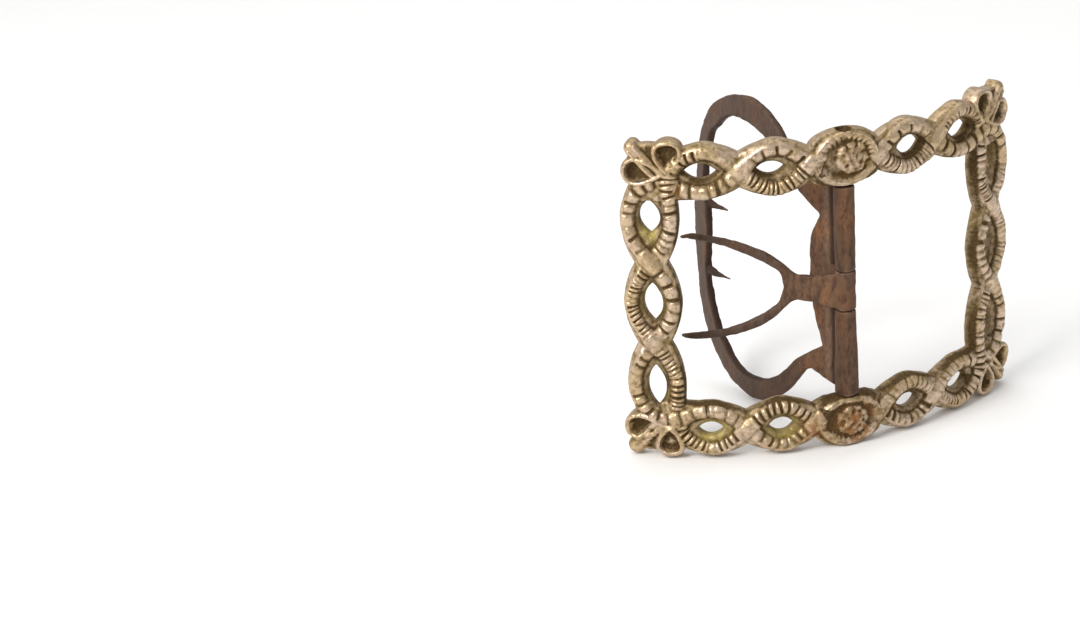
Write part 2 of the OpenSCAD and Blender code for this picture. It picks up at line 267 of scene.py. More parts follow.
def mesh_from(name: str, points: Array, faces: Array) -> bpy.types.Mesh:
    """Makes a smooth-shaded mesh from faces that all have as many sides.

    Args:
        name: Name of the mesh.
        points: One row for each point.
        faces: One row of point numbers for each face.
    Returns:
        The new mesh.
    """
    mesh = bpy.data.meshes.new(name)
    sides = faces.shape[1]
    mesh.vertices.add(len(points))
    mesh.vertices.foreach_set("co", points.astype(np.float32).ravel())
    mesh.loops.add(faces.size)
    mesh.loops.foreach_set("vertex_index", faces.astype(np.int32).ravel())
    mesh.polygons.add(len(faces))
    mesh.polygons.foreach_set("loop_start", np.arange(0, faces.size, sides, dtype=np.int32))
    mesh.polygons.foreach_set("use_smooth", np.ones(len(faces), bool))
    mesh.update(calc_edges=True)
    return mesh


def thinned(name: str, points: Array, quads: Array, budget: int) -> tuple[Array, Array]:
    """Brings a skin down to a number of triangles, most of them where it is curved.

    Args:
        name: Name for the working mesh.
        points: Points of the skin.
        quads: Quads of the skin.
        budget: Most triangles to keep.
    Returns:
        Points and triangles of the lighter skin.
    """
    tall = bpy.data.objects.new(name, mesh_from(name, points, quads))
    bpy.context.scene.collection.objects.link(tall)
    thin = tall.modifiers.new("thin", "DECIMATE")
    thin.ratio = min(1.0, budget / (2 * len(quads)))
    thin.use_collapse_triangulate = True
    mesh = tall.evaluated_get(bpy.context.evaluated_depsgraph_get()).to_mesh()
    mesh.calc_loop_triangles()
    light = np.zeros(len(mesh.vertices) * 3, np.float32)
    mesh.vertices.foreach_get("co", light)
    faces = np.zeros(len(mesh.loop_triangles) * 3, np.int32)
    mesh.loop_triangles.foreach_get("vertices", faces)
    old = tall.data
    bpy.data.objects.remove(tall)
    bpy.data.meshes.remove(old)
    return light.reshape(-1, 3).astype(float), faces.reshape(-1, 3)


def piece_from(name: str, points: Array, faces: Array, tones: dict[str, Array]) -> bpy.types.Object:
    """Makes a piece of the buckle in metres.

    Args:
        name: Name of the piece.
        points: Points in millimetres, in the shared frame.
        faces: Triangles.
        tones: Values from 0 to 1 at the points, for the finish to read by name.
    Returns:
        The new object.
    """
    mesh = mesh_from(name, points * MM, faces)
    for tone, values in tones.items():
        layer = mesh.attributes.new(tone, "FLOAT", "POINT")
        layer.data.foreach_set("value", np.clip(values, 0, 1).astype(np.float32))
    piece = bpy.data.objects.new(name, mesh)
    bpy.context.scene.collection.objects.link(piece)
    log.info("%s: %d triangles", name, len(faces))
    return piece


# Finishes


class Recipe:
    """A material whose nodes are put together step by step."""

    def __init__(self, name: str) -> None:
        """Starts a material with one surface shader.

        Args:
            name: Name of the material.
        """
        self.material = bpy.data.materials.new(name)
        self.material.use_nodes = True
        self.tree = self.material.node_tree
        self.tree.nodes.clear()
        self.shader = self.tree.nodes.new("ShaderNodeBsdfPrincipled")
        output = self.tree.nodes.new("ShaderNodeOutputMaterial")
        self.tree.links.new(self.shader.outputs["BSDF"], output.inputs["Surface"])
        self.place = self.tree.nodes.new("ShaderNodeTexCoord").outputs["Object"]

    def put(self, value: Socket | float | tuple, target: Socket) -> None:
        """Links a socket to a target, or sets the target's own value.

        Args:
            value: A socket, a number or a colour.
            target: The input that takes it.
        """
        if isinstance(value, bpy.types.NodeSocket):
            self.tree.links.new(value, target)
        elif isinstance(value, tuple):
            target.default_value = (*value, 1.0) if len(value) == 3 else value
        else:
            target.default_value = value

    def tone(self, name: str) -> Socket:
        """Reads a value that the mesh carries at its points.

        Args:
            name: Name of the value.
        Returns:
            The value.
        """
        node = self.tree.nodes.new("ShaderNodeAttribute")
        node.attribute_name = name
        return node.outputs["Fac"]

    def stretch(self, x: float, y: float, z: float) -> None:
        """Multiplies the places that later patterns are drawn at.

        Args:
            x: Factor along X, where 0.5 doubles the length of a lump.
            y: Factor along Y.
            z: Factor along Z.
        """
        node = self.tree.nodes.new("ShaderNodeVectorMath")
        node.operation = "MULTIPLY"
        self.put(self.place, node.inputs[0])
        node.inputs[1].default_value = (x, y, z)
        self.place = node.outputs["Vector"]

    def noise(self, size: float, detail: float = 4, rough: float = 0.55, bend: float = 0) -> Socket:
        """Adds noise.

        Args:
            size: Size of the lumps in millimetres.
            detail: Number of finer layers.
            rough: Strength of the finer layers.
            bend: How much the lumps are warped.
        Returns:
            A value around 0.5.
        """
        node = self.tree.nodes.new("ShaderNodeTexNoise")
        self.put(self.place, node.inputs["Vector"])
        self.put(1 / (size * MM), node.inputs["Scale"])
        self.put(float(detail), node.inputs["Detail"])
        self.put(rough, node.inputs["Roughness"])
        self.put(float(bend), node.inputs["Distortion"])
        return node.outputs["Fac"]

    def cells(self, size: float) -> Socket:
        """Adds a pattern of round cells.

        Args:
            size: Size of a cell in millimetres.
        Returns:
            The distance to the nearest middle.
        """
        node = self.tree.nodes.new("ShaderNodeTexVoronoi")
        self.put(self.place, node.inputs["Vector"])
        self.put(1 / (size * MM), node.inputs["Scale"])
        return node.outputs["Distance"]

    def sum(self, kind: str, a: Socket | float, b: Socket | float, c: Socket | float = 0.0) -> Socket:
        """Does one sum with two or three values.

        Args:
            kind: Blender's name of the sum.
            a: First value.
            b: Second value.
            c: Third value, which only some sums use.
        Returns:
            The result, held between 0 and 1.
        """
        node = self.tree.nodes.new("ShaderNodeMath")
        node.operation = kind
        node.use_clamp = True
        for value, target in zip((a, b, c), node.inputs):
            self.put(value, target)
        return node.outputs["Value"]

    def span(self, value: Socket, low: float, high: float, to_low: float = 0, to_high: float = 1) -> Socket:
        """Stretches a value softly from one range to another.

        Args:
            value: The value.
            low: Start of its range.
            high: End of its range.
            to_low: What it is turned into at the start and before.
            to_high: What it is turned into at the end and beyond.
        Returns:
            The stretched value.
        """
        node = self.tree.nodes.new("ShaderNodeMapRange")
        node.interpolation_type = "SMOOTHSTEP"
        for part, target in zip((value, low, high, to_low, to_high), node.inputs):
            self.put(float(part) if isinstance(part, int) else part, target)
        return node.outputs["Result"]

    def blend(self, share: Socket | float, a: Socket | tuple, b: Socket | tuple) -> Socket:
        """Mixes two colours.

        Args:
            share: Share of the second colour.
            a: First colour.
            b: Second colour.
        Returns:
            The mixed colour.
        """
        node = self.tree.nodes.new("ShaderNodeMix")
        node.data_type = "RGBA"
        self.put(share, node.inputs["Factor"])
        self.put(a, [s for s in node.inputs if s.name == "A" and s.type == "RGBA"][0])
        self.put(b, [s for s in node.inputs if s.name == "B" and s.type == "RGBA"][0])
        return [s for s in node.outputs if s.type == "RGBA"][0]

    def relief(self, height: Socket, depth: float, strength: float, under: Socket | None = None) -> Socket:
        """Turns a value into fine relief.

        Args:
            height: The value.
            depth: Height in millimetres of a value of 1.
            strength: Share of the effect.
            under: Relief that this lies on.
        Returns:
            The bent normal.
        """
        node = self.tree.nodes.new("ShaderNodeBump")
        self.put(strength, node.inputs["Strength"])
        self.put(depth * MM, node.inputs["Distance"])
        self.put(height, node.inputs["Height"])
        if under is not None:
            self.put(under, node.inputs["Normal"])
        return node.outputs["Normal"]

    def surface(self, **values: Socket | float | tuple) -> bpy.types.Material:
        """Sets the shader.

        Args:
            **values: What each of its inputs takes, by name, with _ for a space.
        Returns:
            The material.
        """
        for name, value in values.items():
            self.put(value, self.shader.inputs[name.replace("_", " ")])
        return self.material


@dataclass(frozen=True)
class TarnishedBrass:
    """Pale cast brass, bright on its crests, with brown and olive patina and painted shade in its hollows.
    """

    gold: tuple = (0.55, 0.405, 0.24)
    pink: tuple = (0.62, 0.475, 0.35)
    olive: tuple = (0.20, 0.14, 0.052)
    brown: tuple = (0.15, 0.085, 0.036)
    dirt_and_shade: tuple = (0.072, 0.041, 0.014)
    deposit: tuple = (0.42, 0.34, 0.105)
    rust: tuple = (0.30, 0.12, 0.04)

    def material(self) -> bpy.types.Material:
        """Builds the finish.

        Returns:
            The material.
        """
        made = Recipe("tarnished_brass")
        hollow = made.tone("hollow")
        crest = made.tone("crest")
        broad = made.noise(9, 3)
        patch = made.noise(1.6, 5, 0.6, 0.4)
        stain = made.noise(0.9, 4, 0.6, 0.3)
        speck = made.noise(0.4, 4, 0.65)
        metal = made.blend(made.span(broad, 0.4, 0.6), self.gold, self.pink)
        even = made.span(made.tone("plain"), 0, 1, 1, 0.35)
        mottle = made.sum("MULTIPLY", made.span(patch, 0.42, 0.7, 0, 0.8), even)
        # The hollow tone carries patina and painted shade, so this olive layer is both.
        film_and_shade = made.sum("MULTIPLY_ADD", hollow, 0.9, mottle)
        film_and_shade = made.sum("SUBTRACT", film_and_shade, made.sum("MULTIPLY", crest, 0.4))
        colour = made.blend(film_and_shade, metal, self.olive)
        # Brown stains, stronger where the hollow tone (patina and painted shade) is high.
        grime_and_shade = made.sum("MULTIPLY_ADD", hollow, 0.5, 0.45)
        spots = made.sum("MULTIPLY", made.span(stain, 0.5, 0.66), grime_and_shade)
        spots = made.sum("MULTIPLY", spots, even)
        colour = made.blend(spots, colour, self.brown)
        # The deepest hollows go darkest: patina with painted shade.
        deep = made.sum("MULTIPLY", made.span(hollow, 0.4, 0.9), made.span(speck, 0.3, 0.55, 0.6, 1))
        colour = made.blend(deep, colour, self.dirt_and_shade)
        pits = made.span(speck, 0.6, 0.72)
        colour = made.blend(made.sum("MULTIPLY", pits, 0.7), colour, self.dirt_and_shade)
        crust = made.sum("MULTIPLY", made.tone("deposit"), made.span(stain, 0.4, 0.6, 0.25, 1))
        colour = made.blend(crust, colour, self.deposit)
        rusted = made.sum("MULTIPLY", made.tone("rust"), made.span(patch, 0.42, 0.58))
        colour = made.blend(rusted, colour, self.rust)
        dull = made.sum("MAXIMUM", film_and_shade, made.sum("MAXIMUM", made.sum("MAXIMUM", crust, rusted), deep))
        rough = made.sum("MULTIPLY_ADD", dull, 0.34, made.span(speck, 0.3, 0.7, 0.26, 0.42))
        metallic = made.sum("SUBTRACT", 0.9, made.sum("MULTIPLY", dull, 0.65))
        gloss = made.sum("SUBTRACT", 0.5, made.sum("MULTIPLY", dull, 0.35))
        normal = made.relief(patch, 0.14, 0.5)
        normal = made.relief(speck, 0.07, 0.7, normal)
        return made.surface(
            Base_Color=colour, Metallic=metallic, Roughness=rough, Specular_IOR_Level=gloss, Normal=normal
        )


@dataclass(frozen=True)
class RustedIron:
    """Dark forged iron: brown scale, orange rust, lighter worn edges, painted shade and a painted
    highlight.
    """

    name: str = "rusted_iron"
    scale: tuple = (0.07, 0.037, 0.023)
    brown: tuple = (0.155, 0.086, 0.05)
    rust: tuple = (0.26, 0.115, 0.048)
    grey: tuple = (0.098, 0.066, 0.049)
    wall_shade: tuple = (0.028, 0.014, 0.009)
    bare_and_highlight: tuple = (0.40, 0.31, 0.24)
    rusty: float = 0.5

    def material(self) -> bpy.types.Material:
        """Builds the finish.

        Returns:
            The material.
        """
        made = Recipe(self.name)
        made.stretch(1, 1, 0.4)
        edge = made.tone("edge")
        hollow = made.tone("hollow")
        broad = made.noise(5, 4, 0.6, 0.5)
        patch = made.noise(0.9, 5, 0.7, 0.2)
        speck = made.noise(0.35, 4, 0.7)
        near = made.tone("near")
        colour = made.blend(near, self.grey, self.brown)
        colour = made.blend(made.span(patch, 0.36, 0.6, 1, 0), colour, self.scale)
        bloom = made.span(broad, 0.56 - 0.2 * self.rusty, 0.7)
        bloom = made.sum("MULTIPLY", bloom, made.span(speck, 0.35, 0.6))
        bloom = made.sum("MULTIPLY", bloom, made.span(near, 0, 1, 0.35, 1))
        colour = made.blend(bloom, colour, self.rust)
        # The edge tone holds worn edges and a painted highlight on the chape's leaf beside its knuckles.
        worn = made.sum("MULTIPLY", edge, made.span(speck, 0.36, 0.58))
        colour = made.blend(made.sum("MULTIPLY", worn, 0.7), colour, self.bare_and_highlight)
        # Painted shade: the hollow tone darkens concave places, the window's walls and the knuckles.
        colour = made.blend(made.sum("MULTIPLY", hollow, 0.85), colour, self.wall_shade)
        polish = made.sum("MULTIPLY", worn, 0.15)
        rough = made.sum("SUBTRACT", made.span(patch, 0.3, 0.7, 0.46, 0.74), polish)
        metallic = made.sum("MULTIPLY_ADD", worn, 0.4, 0.35)
        normal = made.relief(patch, 0.2, 0.6)
        normal = made.relief(speck, 0.1, 0.7, normal)
        normal = made.relief(made.cells(0.9), 0.12, 0.35, normal)
        return made.surface(
            Base_Color=colour, Metallic=metallic, Roughness=rough, Specular_IOR_Level=0.22, Normal=normal
        )


@dataclass(frozen=True)
class PaleFloor:
    """Plain white paper under the buckle."""

    white: tuple = (0.9, 0.9, 0.9)
    shade: tuple = (0.88, 0.88, 0.88)

    def material(self) -> bpy.types.Material:
        """Builds the finish.

        Returns:
            The material.
        """
        made = Recipe("pale_floor")
        colour = made.blend(made.noise(30, 2), self.white, self.shade)
        return made.surface(Base_Color=colour, Roughness=0.8, Metallic=0.0)


# The brass frame


class Side(Enum):
    """The sides, in the order that a strand runs through them."""

    LEFT = "left"
    BOTTOM = "bottom"
    RIGHT = "right"
    TOP = "top"

    @property
    def long(self) -> bool:
        """Whether it carries a boss."""
        return self in (Side.BOTTOM, Side.TOP)

    @property
    def way(self) -> int:
        """Returns 1 where the side lies on the plus side of its axis."""
        return 1 if self in (Side.RIGHT, Side.TOP) else -1


class Wear(Enum):
    """The nicks on a strand: their depth, their spacing and their half width, in millimetres."""

    CRISP = (0.48, 0.88, 0.19)
    LADDER = (0.5, 1.24, 0.25)
    COMB = (0.75, 0.98, 0.24)
    COARSE = (0.5, 2.3, 0.34)
    LUMPY = (0.4, 1.6, 0.42)
    WORN = (0.26, 1.1, 0.2)
    SMOOTH = (0.1, 1.4, 0.2)


@dataclass(frozen=True)
class Bow:
    """How the flat plan of the frame wraps round the foot."""

    radius: float = 61.0
    thick: float = 3.3
    pin_depth: float = 1.75
    stand: float = 29.4

    def wrap(self, flat: Array) -> Array:
        """Bends points of the plan to their places.

        Args:
            flat: Rows of u along the bow, v up from the middle and w forward from the back.
        Returns:
            Rows of x, y and z.
        """
        angle = flat[:, 0] / self.radius
        reach = self.radius - self.thick + flat[:, 2]
        depth = self.radius - self.pin_depth - reach * np.cos(angle)
        return np.stack([reach * np.sin(angle), depth, flat[:, 1] + self.stand], axis=1)


class Relief:
    """The plan and the front heights of the casting, on a flat grid."""

    def __init__(self, half_u: float, half_v: float, step: float) -> None:
        """Starts an empty plan.

        Args:
            half_u: Half length of the grid along the bow.
            half_v: Half height of the grid.
            step: Distance between grid points.
        """
        self.step = step
        self.u = np.arange(-half_u, half_u + step, step)
        self.v = np.arange(-half_v, half_v + step, step)
        self.uu, self.vv = np.meshgrid(self.u, self.v, indexing="ij")
        self.plan = np.full(self.uu.shape, 9.0)
        self.top = np.zeros(self.uu.shape)
        # Dark lines on the front: the nicks, and painted shade along the strands' edges.
        self.line = np.zeros(self.uu.shape)

    def add(self, distance: Array, height: Array, window: tuple = (slice(None), slice(None))) -> None:
        """Joins a form to the casting.

        Args:
            distance: How far places are outside the form, less than 0 inside.
            height: Height of the form above the back.
            window: Part of the grid that the two fields cover.
        """
        fall = 3.5
        self.plan[window] = np.minimum(self.plan[window], distance)
        self.top[window] = np.maximum(self.top[window], height - fall * np.maximum(distance, 0))

    def cut(self, distance: Array) -> None:
        """Cuts a hole. The distance is more than 0 inside the hole."""
        self.plan = np.maximum(self.plan, distance)

    def window(self, points: Array, margin: float) -> tuple[slice, slice]:
        """Finds the part of the grid round some points.

        Args:
            points: The points.
            margin: How much further the part reaches.
        Returns:
            The part, as slices along u and v.
        """
        low = points.min(axis=0) - margin
        high = points.max(axis=0) + margin
        return tuple(
            slice(max(0, int((a - line[0]) / self.step)), max(1, int((b - line[0]) / self.step) + 2))
            for a, b, line in zip(low, high, (self.u, self.v))
        )

    def blurred(self, values: Array, reach: float) -> Array:
        """Averages values over a square of the solid plan.

        Args:
            values: A grid of values.
            reach: Half the side of the square.
        Returns:
            The averages.
        """
        solid = (self.plan < 0).astype(float)
        total = [values * solid, solid]
        n = max(1, int(reach / self.step))
        for axis in (0, 1):
            for part in range(2):
                border = [(n + 1, n) if a == axis else (0, 0) for a in (0, 1)]
                padded = np.pad(total[part], border, mode="edge")
                run = np.cumsum(padded, axis=axis)
                long = run.shape[axis]
                high = np.take(run, range(2 * n + 1, long), axis)
                low = np.take(run, range(long - 2 * n - 1), axis)
                total[part] = (high - low) / (2 * n + 1)
        return total[0] / np.maximum(total[1], 1e-3)

    def sample(self, values: Array, points: Array) -> Array:
        """Reads a grid of values at points of the plan.

        Args:
            values: The grid.
            points: Rows of u, v and more.
        Returns:
            One value for each point.
        """
        i = np.clip((points[:, 0] - self.u[0]) / self.step, 0, len(self.u) - 1.001)
        j = np.clip((points[:, 1] - self.v[0]) / self.step, 0, len(self.v) - 1.001)
        a, b = i.astype(int), j.astype(int)
        near = mix(values[a, b], values[a + 1, b], i - a)
        far = mix(values[a, b + 1], values[a + 1, b + 1], i - a)
        return mix(near, far, j - b)


@dataclass
class Strand:
    """One strand of the plait: a path in the plan, walked with the outside on its right."""

    path: Array
    crossings: list[tuple[Array, bool]]
    nicks: list[Wear]
    outer: Array
    seed: int
    # Height and half width between crossings, and the height at the rounded edges
    crest: float = 3.3
    half: float = 1.3
    edge: float = 2.3
    # Half width and change of height where it passes over and under, and how far that spreads
    wide_half: float = 1.8
    low_half: float = 1.5
    lift: float = 0.08
    sink: float = 0.8
    spread: float = 3.4
    # Nicks start this far from a crossing
    calm: float = 1.25
    edge_slope: float = 5.5
    swell: float = 0.07

    def __post_init__(self) -> None:
        """Turns the path so that the outside lies on its right."""
        middle = self.path[len(self.path) // 2]
        run = self.path[-1] - self.path[0]
        if middle[0] * run[1] - middle[1] * run[0] < 0:
            self.path = self.path[::-1].copy()
            self.nicks = self.nicks[::-1]
            self.outer = self.outer[::-1].copy()

    def nick_rows(self, run: Array, away: Array) -> Array:
        """Places the nicks along the strand.

        Args:
            run: Length along the strand at each point of its path.
            away: Distance from the nearest crossing at each point.
        Returns:
            One row for each nick: its place, depth, half width and slant.
        """
        rng = np.random.default_rng(self.seed)
        rows = [(-9.0, 0.0, 1.0, 0.0), (1e3, 0.0, 1.0, 0.0)]
        place = rng.uniform(0.1, 0.5)
        while place < run[-1]:
            at = int(np.searchsorted(run, place))
            deep, pitch, width = self.nicks[at].value
            deep *= rng.uniform(0.45, 1.25) * float(ease((away[at] - self.calm) / 0.9))
            rows.append((place, deep, width * rng.uniform(0.8, 1.25), rng.uniform(-0.25, 0.25)))
            place += pitch * rng.uniform(0.8, 1.2)
        return np.array(sorted(rows))

    def sections(self) -> tuple[Array, Array, Array]:
        """Works out how the strand rises and widens along its path.

        Returns:
            Distance from the nearest crossing, height of the crest and half width, at each point.
        """
        away = np.full(len(self.path), 99.0)
        rise = np.full(len(self.path), self.crest)
        half = np.full(len(self.path), self.half)
        for place, over in self.crossings:
            gap = np.hypot(*(self.path - place).T)
            away = np.minimum(away, gap)
            near = 1 - ease(gap / self.spread)
            rise += near * (self.lift if over else -self.sink)
            half += near * ((self.wide_half if over else self.low_half) - self.half)
        return away, rise, half

    def nick_depth(self, rows: Array, run: Array, side: Array, across: Array, outer: Array) -> Array:
        """Measures how deep the nicks cut.

        Args:
            rows: The nicks, as nick_rows places them.
            run: Length along the strand at each place of the grid.
            side: Distance from the strand's middle, more than 0 on its right.
            across: The same as a share of the half width.
            outer: 1 where the strand is the outer one of its loop.
        Returns:
            Depths in millimetres.
        """
        which = np.searchsorted((rows[1:, 0] + rows[:-1, 0]) / 2, run)
        spot, deep, width, slant = (rows[which, column] for column in range(4))
        notch = np.exp(-(((run - spot - slant * side) / width) ** 2))
        reach = mix(1.1, 0.5, outer)
        cover = ease((reach - across) / 0.18) * ease((across + 1.2) / 0.18)
        return deep * notch * cover

    def lay(self, relief: Relief) -> None:
        """Adds the strand to the casting.

        Args:
            relief: The casting's plan and heights.
        """
        away, rise, half = self.sections()
        run = np.r_[0, np.cumsum(np.hypot(*np.diff(self.path, axis=0).T))]
        rows = self.nick_rows(run, away)
        window = relief.window(self.path, 3)
        side, index = path_distance(self.path, relief.uu[window], relief.vv[window])
        here = np.arange(len(self.path))
        at_rise, at_half, at_outer, at_run, at_away = (
            np.interp(index, here, row) for row in (rise, half, self.outer, run, away)
        )
        across = side / at_half
        over_edge = np.maximum(np.abs(across) - 1, 0) * at_half
        round_top = np.sqrt(np.clip(1 - across**2, 0, 1)) ** 1.25
        height = self.edge + (at_rise - self.edge) * round_top - self.edge_slope * over_edge
        cut = self.nick_depth(rows, at_run, side, across, at_outer)
        swell = self.swell * Grain(self.seed).at(at_run, side * 0.4, 0.5, 1.3)
        height = height - cut + swell * ease(1.2 - np.abs(across))
        # Painted shade: a dark line along the strand's inner edge, and along both edges near a crossing.
        rim = ease((np.abs(across) - 0.8) / 0.2) * np.where((across < 0) | (at_away < 2.6), 0.62, 0.1)
        shown = (np.abs(side) < at_half + 0.1) & (height > relief.top[window])
        relief.line[window] = np.where(shown, np.maximum(cut / 0.42, rim), relief.line[window])
        relief.add(np.abs(side) - at_half - 0.12, np.where(np.abs(side) < 2.6, height, 0), window)


def spotted(u: Array, v: Array, rows: tuple, power: int) -> Array:
    """Draws round spots on the plan.

    Args:
        u: Places along the frame.
        v: Places up the frame.
        rows: The spots, each as u, v, reach and most.
        power: 2 for a soft edge, 4 for a firm one.
    Returns:
        One value for each place, which is the spot's most at its middle.
    """
    total = np.zeros(u.shape)
    for middle_u, middle_v, reach, most in rows:
        far = np.hypot(u - middle_u, v - middle_v) / reach
        total = np.maximum(total, most * np.exp(-(far**power)))
    return total


@dataclass(frozen=True)
class CornerPatch:
    """The part of the casting round one corner, turned so that u and v run outwards."""

    relief: Relief
    window: tuple[slice, slice]
    uu: Array
    vv: Array
    corner: Array
    worn: float


@dataclass
class CastFrame:
    """The bowed show frame: plaited sides, two bosses and four leafy corners, in one casting."""

    bow: Bow = field(default_factory=Bow)
    half_u: float = 34.9
    half_v: float = 24.0
    waist: float = 3.0
    long_loop_half: float = 4.8
    short_loop_half: float = 5.2
    hole_half: float = 1.65
    hole_shift: float = 0.9
    step_w: float = 0.85
    recess: float = 2.05
    boss_l: float = 6.3
    boss_w: float = 5.4
    boss_inner: tuple = (4.2, 4.65)
    long_loop: float = 12.55
    short_loop: float = 14.93
    corner_inner: float = 5.1
    corner_outer: float = 2.4
    step: float = 0.14
    budget: int = 194000
    # How the nicks look on each loop's outer and inner strand, in the order that strands run
    wear: dict[Side, list[tuple[Wear, Wear]]] = field(
        default_factory=lambda: {
            Side.LEFT: [
                (Wear.COARSE, Wear.LADDER),
                (Wear.CRISP, Wear.COARSE),
                (Wear.LUMPY, Wear.CRISP),
            ],
            Side.BOTTOM: [
                (Wear.LADDER, Wear.COARSE),
                (Wear.LUMPY, Wear.LADDER),
                (Wear.LUMPY, Wear.WORN),
                (Wear.CRISP, Wear.WORN),
            ],
            Side.RIGHT: [
                (Wear.LUMPY, Wear.CRISP),
                (Wear.WORN, Wear.LUMPY),
                (Wear.WORN, Wear.CRISP),
            ],
            Side.TOP: [
                (Wear.CRISP, Wear.COARSE),
                (Wear.COARSE, Wear.CRISP),
                (Wear.COARSE, Wear.CRISP),
                (Wear.SMOOTH, Wear.LUMPY),
            ],
        }
    )
    # Half length, half width and shift along the side of each hole, in the order that strands run
    hole_sizes: dict[Side, list[tuple[float, float, float]]] = field(
        default_factory=lambda: {
            Side.LEFT: [(3.1, 1.95, 0), (3.6, 1.8, 0), (4.0, 1.75, 0)],
            Side.BOTTOM: [(2.5, 1.3, -0.2), (2.4, 1.4, 0), (2.4, 1.35, 0), (2.8, 1.5, 0.3)],
            Side.RIGHT: [(3.4, 1.6, 0), (3.4, 1.6, 0), (3.3, 1.6, 0)],
            Side.TOP: [(2.9, 1.6, -0.6), (2.7, 1.7, -0.8), (2.6, 1.2, 0.7), (3.0, 1.45, 0.5)],
        }
    )
    # Places of the corner's strands, out from the corner of the centre lines
    inner_turn: tuple = (
        (-11.3, 3.55), (-9.8, 3.62), (-7.8, 3.15), (-6.0, 2.15), (-4.6, 0.8), (-3.8, -0.9),
        (-3.55, -2.8), (-3.7, -5.1), (-3.85, -7.2), (-3.88, -9.07), (-3.8, -10.4),
    )
    outer_turn: tuple = (
        (-11.3, -3.55), (-9.8, -3.62), (-7.6, -3.5), (-5.5, -2.8), (-3.7, -2.0), (-1.9, -1.8),
        (-0.1, -2.25), (1.7, -3.4), (3.1, -5.3), (3.75, -7.2), (3.85, -9.07), (3.8, -10.4),
    )
    turn_crossing: tuple = (-3.65, -2.0)
    spread_top: tuple = (-0.6, 0.5)
    spread_bottom: tuple = (1.0, -0.3)
    # The web's outline and the petals, from the spread corner: tip, direction, length and width
    web: tuple = ((-4, -1), (3.2, -0.6), (4.0, 2.6), (3.4, 4.2), (0.6, 4.6), (-4.2, 4.2))
    leaves: tuple = (((-3.1, -0.5), 3.0, 8.2, 5.2), ((-3.3, -1.2), 88.0, 6.6, 5.4))
    web_top: float = 2.2
    corner_top: float = 2.3
    # Heights of a boss, the number of its nicks, and how deep they are on the lower and upper one
    boss_floor: float = 2.62
    boss_crest: float = 3.42
    boss_nicks: int = 30
    nick_depths: tuple = (0.16, 0.3)
    rosette_reach: float = 3.2
    rosette_edge: float = 3.15
    # Spots of wear, crust, rust and dirt, as u, v, reach (two for the last) and most
    worn_spots: tuple = (
        (0, 24, 5, 0.5), (0, -24, 6, 1.0), (-36, -25, 6.5, 1.0), (-12, 24, 9, 0.35), (34, 22, 9, 0.35),
    )
    crust_spots: tuple = (
        (-34.9, 12.6, 1.9, 1.0), (-24.5, -25, 3.6, 0.9), (-12, -25.3, 3.4, 0.7), (-34, 1, 3, 0.25),
    )
    rust_spots: tuple = (
        (-6.6, -25.4, 2.3, 1.0), (1.5, -25.5, 3.6, 0.85), (0.5, 24, 3.2, 0.3), (-30, 21, 1.2, 0.5),
    )
    dirt_spots: tuple = (
        (0, -24, 6.5, 5.5, 0.5), (0, 24, 6.5, 5.5, 0.3), (-35.6, -25.2, 4.5, 4, 0.15),
    )

    def side_places(self, side: Side, along: Array, out: Array) -> Array:
        """Turns places along a side into places on the plan.

        Args:
            side: The side.
            along: Distance from the side's middle, in the direction that strands run.
            out: Distance outwards from the centre line.
        Returns:
            Rows of u and v.
        """
        if side.long:
            return np.stack([-side.way * along, side.way * (self.half_v + out)], axis=1)
        return np.stack([side.way * (self.half_u + out), side.way * along], axis=1)

    def side_fields(self, side: Side, relief: Relief) -> tuple[Array, Array]:
        """Measures the whole grid along a side and out from its centre line.

        Args:
            side: The side.
            relief: The casting's plan and heights.
        Returns:
            Distances along and out.
        """
        if side.long:
            return -side.way * relief.uu, side.way * relief.vv - self.half_v
        return side.way * relief.vv, side.way * relief.uu - self.half_u

    def loops(self, side: Side) -> list[float]:
        """Places a side's loops.

        Args:
            side: The side.
        Returns:
            Where their middles are, in the order that strands run.
        """
        if side.long:
            first = self.boss_l + self.long_loop / 2
            return [-first - self.long_loop, -first, first, first + self.long_loop]
        return [-self.short_loop, 0, self.short_loop]

    def amplitude(self, side: Side) -> float:
        """Returns how far strands swing from the centre line in a loop's middle."""
        widest = self.long_loop_half if side.long else self.short_loop_half
        return (widest + self.hole_half + self.step_w) / 2

    def side_strands(self, side: Side) -> list[Strand]:
        """Makes the strands between the middles of a side's last loops.

        Args:
            side: The side.
        Returns:
            The strands.
        """
        loop = self.long_loop if side.long else self.short_loop
        middles = self.loops(side)
        spans = [(middles[0], middles[-1])]
        if side.long:
            inside = self.boss_l - 1.6
            spans = [(middles[0], -inside), (inside, middles[-1])]
        strands = []
        for start, end in spans:
            along = np.linspace(start, end, int((end - start) / 0.25))
            shift = np.where(along > 0, self.boss_l, -self.boss_l) if side.long else loop / 2
            turn = (along - shift) / loop
            wave = self.amplitude(side) * np.sin(math.pi * turn)
            crossings = [round(t) for t in turn]
            for lift in (1, -1):
                out = lift * wave
                slope = np.gradient(out, along)
                met = []
                for number in sorted(set(crossings)):
                    gap = np.abs(turn - number)
                    if gap.min() < 0.1:
                        at = int(gap.argmin())
                        place = self.side_places(side, along[at : at + 1], np.zeros(1))[0]
                        met.append((place, bool(slope[at] < 0)))
                nearest = np.abs(along[:, None] - np.array(middles)).argmin(axis=1)
                nicks = [self.wear[side][n][0 if o > 0 else 1] for n, o in zip(nearest, out)]
                seed = 100 + 10 * list(Side).index(side) + len(strands)
                strands.append(
                    Strand(self.side_places(side, along, out), met, nicks, (out > 0) * 1.0, seed)
                )
        return strands

